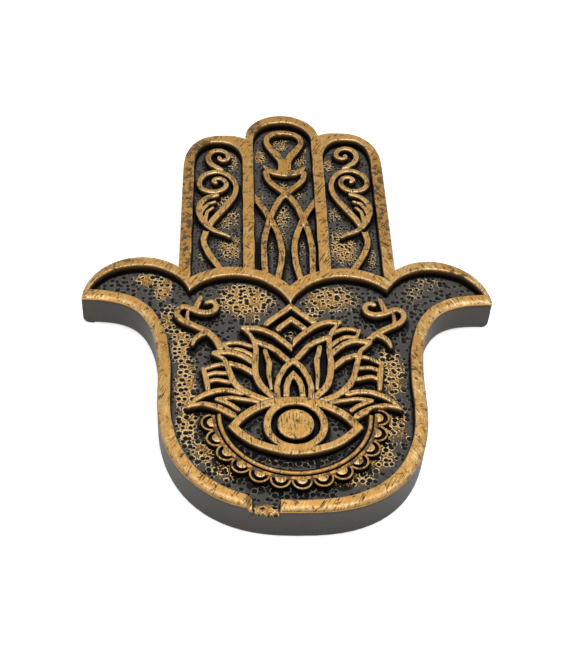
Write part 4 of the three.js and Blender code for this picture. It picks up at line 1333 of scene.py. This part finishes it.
class HOLDER_OT_rim(Operator):
    """Makes the raised rim, the double arch and the two dividers"""

    bl_idname = "holder.rim"
    bl_label = "Rim"

    def execute(self, context):
        for name in RIM_NODES:
            piece = raise_piece(name, SLAB_Z)
            if name == "outer_rim":
                paint_outer_wall(piece.data)
            add_piece(piece, [name])
        return {"FINISHED"}


class HOLDER_OT_relief(Operator):
    """Makes the strokes of the relief, one piece for each solid"""

    bl_idname = "holder.relief"
    bl_label = "Relief"

    def execute(self, context):
        for name in RELIEF_NODES:
            add_piece(raise_piece(name, ROOT_Z), [name])
        return {"FINISHED"}


class HOLDER_OT_floors(Operator):
    """Makes the stippled floors of the palm, the thumbs and the fingers"""

    bl_idname = "holder.floors"
    bl_label = "Stippled Floors"

    def execute(self, context):
        sizes = settings().stipple
        points, values, floors = floor_surface(Grid(sizes.grid_step))
        for name, triangles in floors.items():
            mesh = closed_shell(name, points, triangles, SLAB_Z, values)
            spacing = sizes.finger_spacing if "finger" in name else sizes.palm_spacing
            piece = run_tree(name, mesh, stipple_tree(), {
                "Spacing": spacing, "Dot Share": sizes.dot_share, "Depth": sizes.depth,
                "Unevenness": sizes.unevenness, "Material": stippled_charcoal(spacing)})
            if name == "palm_floor":
                paint_outer_wall(piece.data)
            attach(piece, BODY)
        return {"FINISHED"}


class HOLDER_OT_border(Operator):
    """Makes the scalloped border below the eye"""

    bl_idname = "holder.border"
    bl_label = "Scalloped Border"

    def execute(self, context):
        sizes = settings().border
        start, sweep = arc_ends(sizes)
        band = run_tree("cast_border_band", band_profile(sizes), band_tree(), {
            "Radius": sizes.inner_radius, "Start": start, "Sweep": sweep, "Squash": sizes.squash,
            "Centre": sizes.centre, "Collar Start": sizes.ridge_outer + sizes.groove,
            "Material": rubbed_gold()})
        face_outwards(band.data)
        add_piece(band, ["border_band"])
        row = run_tree("cast_scallop_row", scallop_mesh(sizes), scallop_tree(), {
            "Count": sizes.scallop_count, "Ring Radius": sizes.scallop_ring, "Pitch": sizes.scallop_pitch,
            "Turn": sizes.scallop_turn, "Squash": sizes.squash, "Centre": sizes.centre, "Seed": sizes.seed,
            "Material": rubbed_gold()})
        add_piece(row, SCALLOP_NODES)
        return {"FINISHED"}


class HOLDER_OT_stage(Operator):
    """Makes the studio floor, the light and the camera"""

    bl_idname = "holder.stage"
    bl_label = "Stage"

    def execute(self, context):
        stage = settings().stage
        add_studio_floor(stage.floor_colour)
        add_surround(stage.surround)
        add_soft_light(stage)
        add_camera(stage)
        context.scene.view_settings.view_transform = "Standard"
        return {"FINISHED"}


def add_studio_floor(colour):
    """A large plain floor that the holder lies on."""
    half = 3.0
    mesh = bpy.data.meshes.new("studio_floor")
    corners = [(-half, -half, 0), (half, -half, 0), (half, half, 0), (-half, half, 0)]
    mesh.from_pydata(corners, [], [(0, 1, 2, 3)])
    mesh.materials.append(studio_paint(tuple(colour)))
    new_object("studio_floor", mesh)


def add_surround(strength):
    """White surroundings that light the holder from all sides."""
    world = bpy.data.worlds.new("white_surround")
    world.use_nodes = True
    background = world.node_tree.nodes["Background"]
    background.inputs["Color"].default_value = (1, 1, 1, 1)
    background.inputs["Strength"].default_value = strength
    bpy.context.scene.world = world


def add_soft_light(stage):
    """A square soft box that faces the middle of the hand."""
    lamp = bpy.data.lights.new("key_light", "AREA")
    lamp.size = stage.light_size
    lamp.energy = stage.light_power
    light = bpy.data.objects.new("key_light", lamp)
    light.location = stage.light_place
    light.rotation_euler = (-Vector(stage.light_place)).to_track_quat("-Z", "Y").to_euler()
    bpy.context.scene.collection.objects.link(light)


def add_camera(stage):
    """The camera at the picture's place, aim and roll."""
    lens = bpy.data.cameras.new("picture_camera")
    lens.sensor_width = SENSOR_WIDTH
    lens.lens = stage.camera_lens
    lens.clip_start = 0.01
    camera = bpy.data.objects.new("picture_camera", lens)
    camera.location = stage.camera_place
    look = (Vector(stage.camera_aim) - Vector(stage.camera_place)).to_track_quat("-Z", "Y")
    camera.rotation_euler = (look @ Quaternion((0, 0, 1), stage.camera_roll)).to_euler()
    bpy.context.scene.collection.objects.link(camera)
    bpy.context.scene.camera = camera


OPERATORS = (
    HOLDER_OT_slab, HOLDER_OT_rim, HOLDER_OT_relief, HOLDER_OT_floors, HOLDER_OT_border,
    HOLDER_OT_stage,
)
GROUPS = (
    CastingSettings, StippleSettings, BorderSettings, FinishSettings, StageSettings, HolderSettings,
)


class HOLDER_PT_panel(Panel):
    """Lists the steps that make the holder, and its settings"""

    bl_idname = "HOLDER_PT_panel"
    bl_label = "Hamsa Incense Holder"
    bl_space_type = "VIEW_3D"
    bl_region_type = "UI"
    bl_category = "Holder"

    def draw(self, context):
        holder = context.scene.holder
        for operator in OPERATORS:
            self.layout.operator(operator.bl_idname)
        for group in (holder.casting, holder.stipple, holder.border, holder.finish, holder.stage):
            box = self.layout.box()
            for name in group.__annotations__:
                box.prop(group, name)


def register():
    for item in GROUPS + OPERATORS + (HOLDER_PT_panel,):
        bpy.utils.register_class(item)
    bpy.types.Scene.holder = PointerProperty(type=HolderSettings)


def unregister():
    del bpy.types.Scene.holder
    for item in reversed(GROUPS + OPERATORS + (HOLDER_PT_panel,)):
        bpy.utils.unregister_class(item)


def main():
    register()
    bpy.ops.holder.slab()
    bpy.ops.holder.rim()
    bpy.ops.holder.relief()
    bpy.ops.holder.floors()
    bpy.ops.holder.border()
    bpy.ops.holder.stage()


if __name__ == "__main__":
    main()
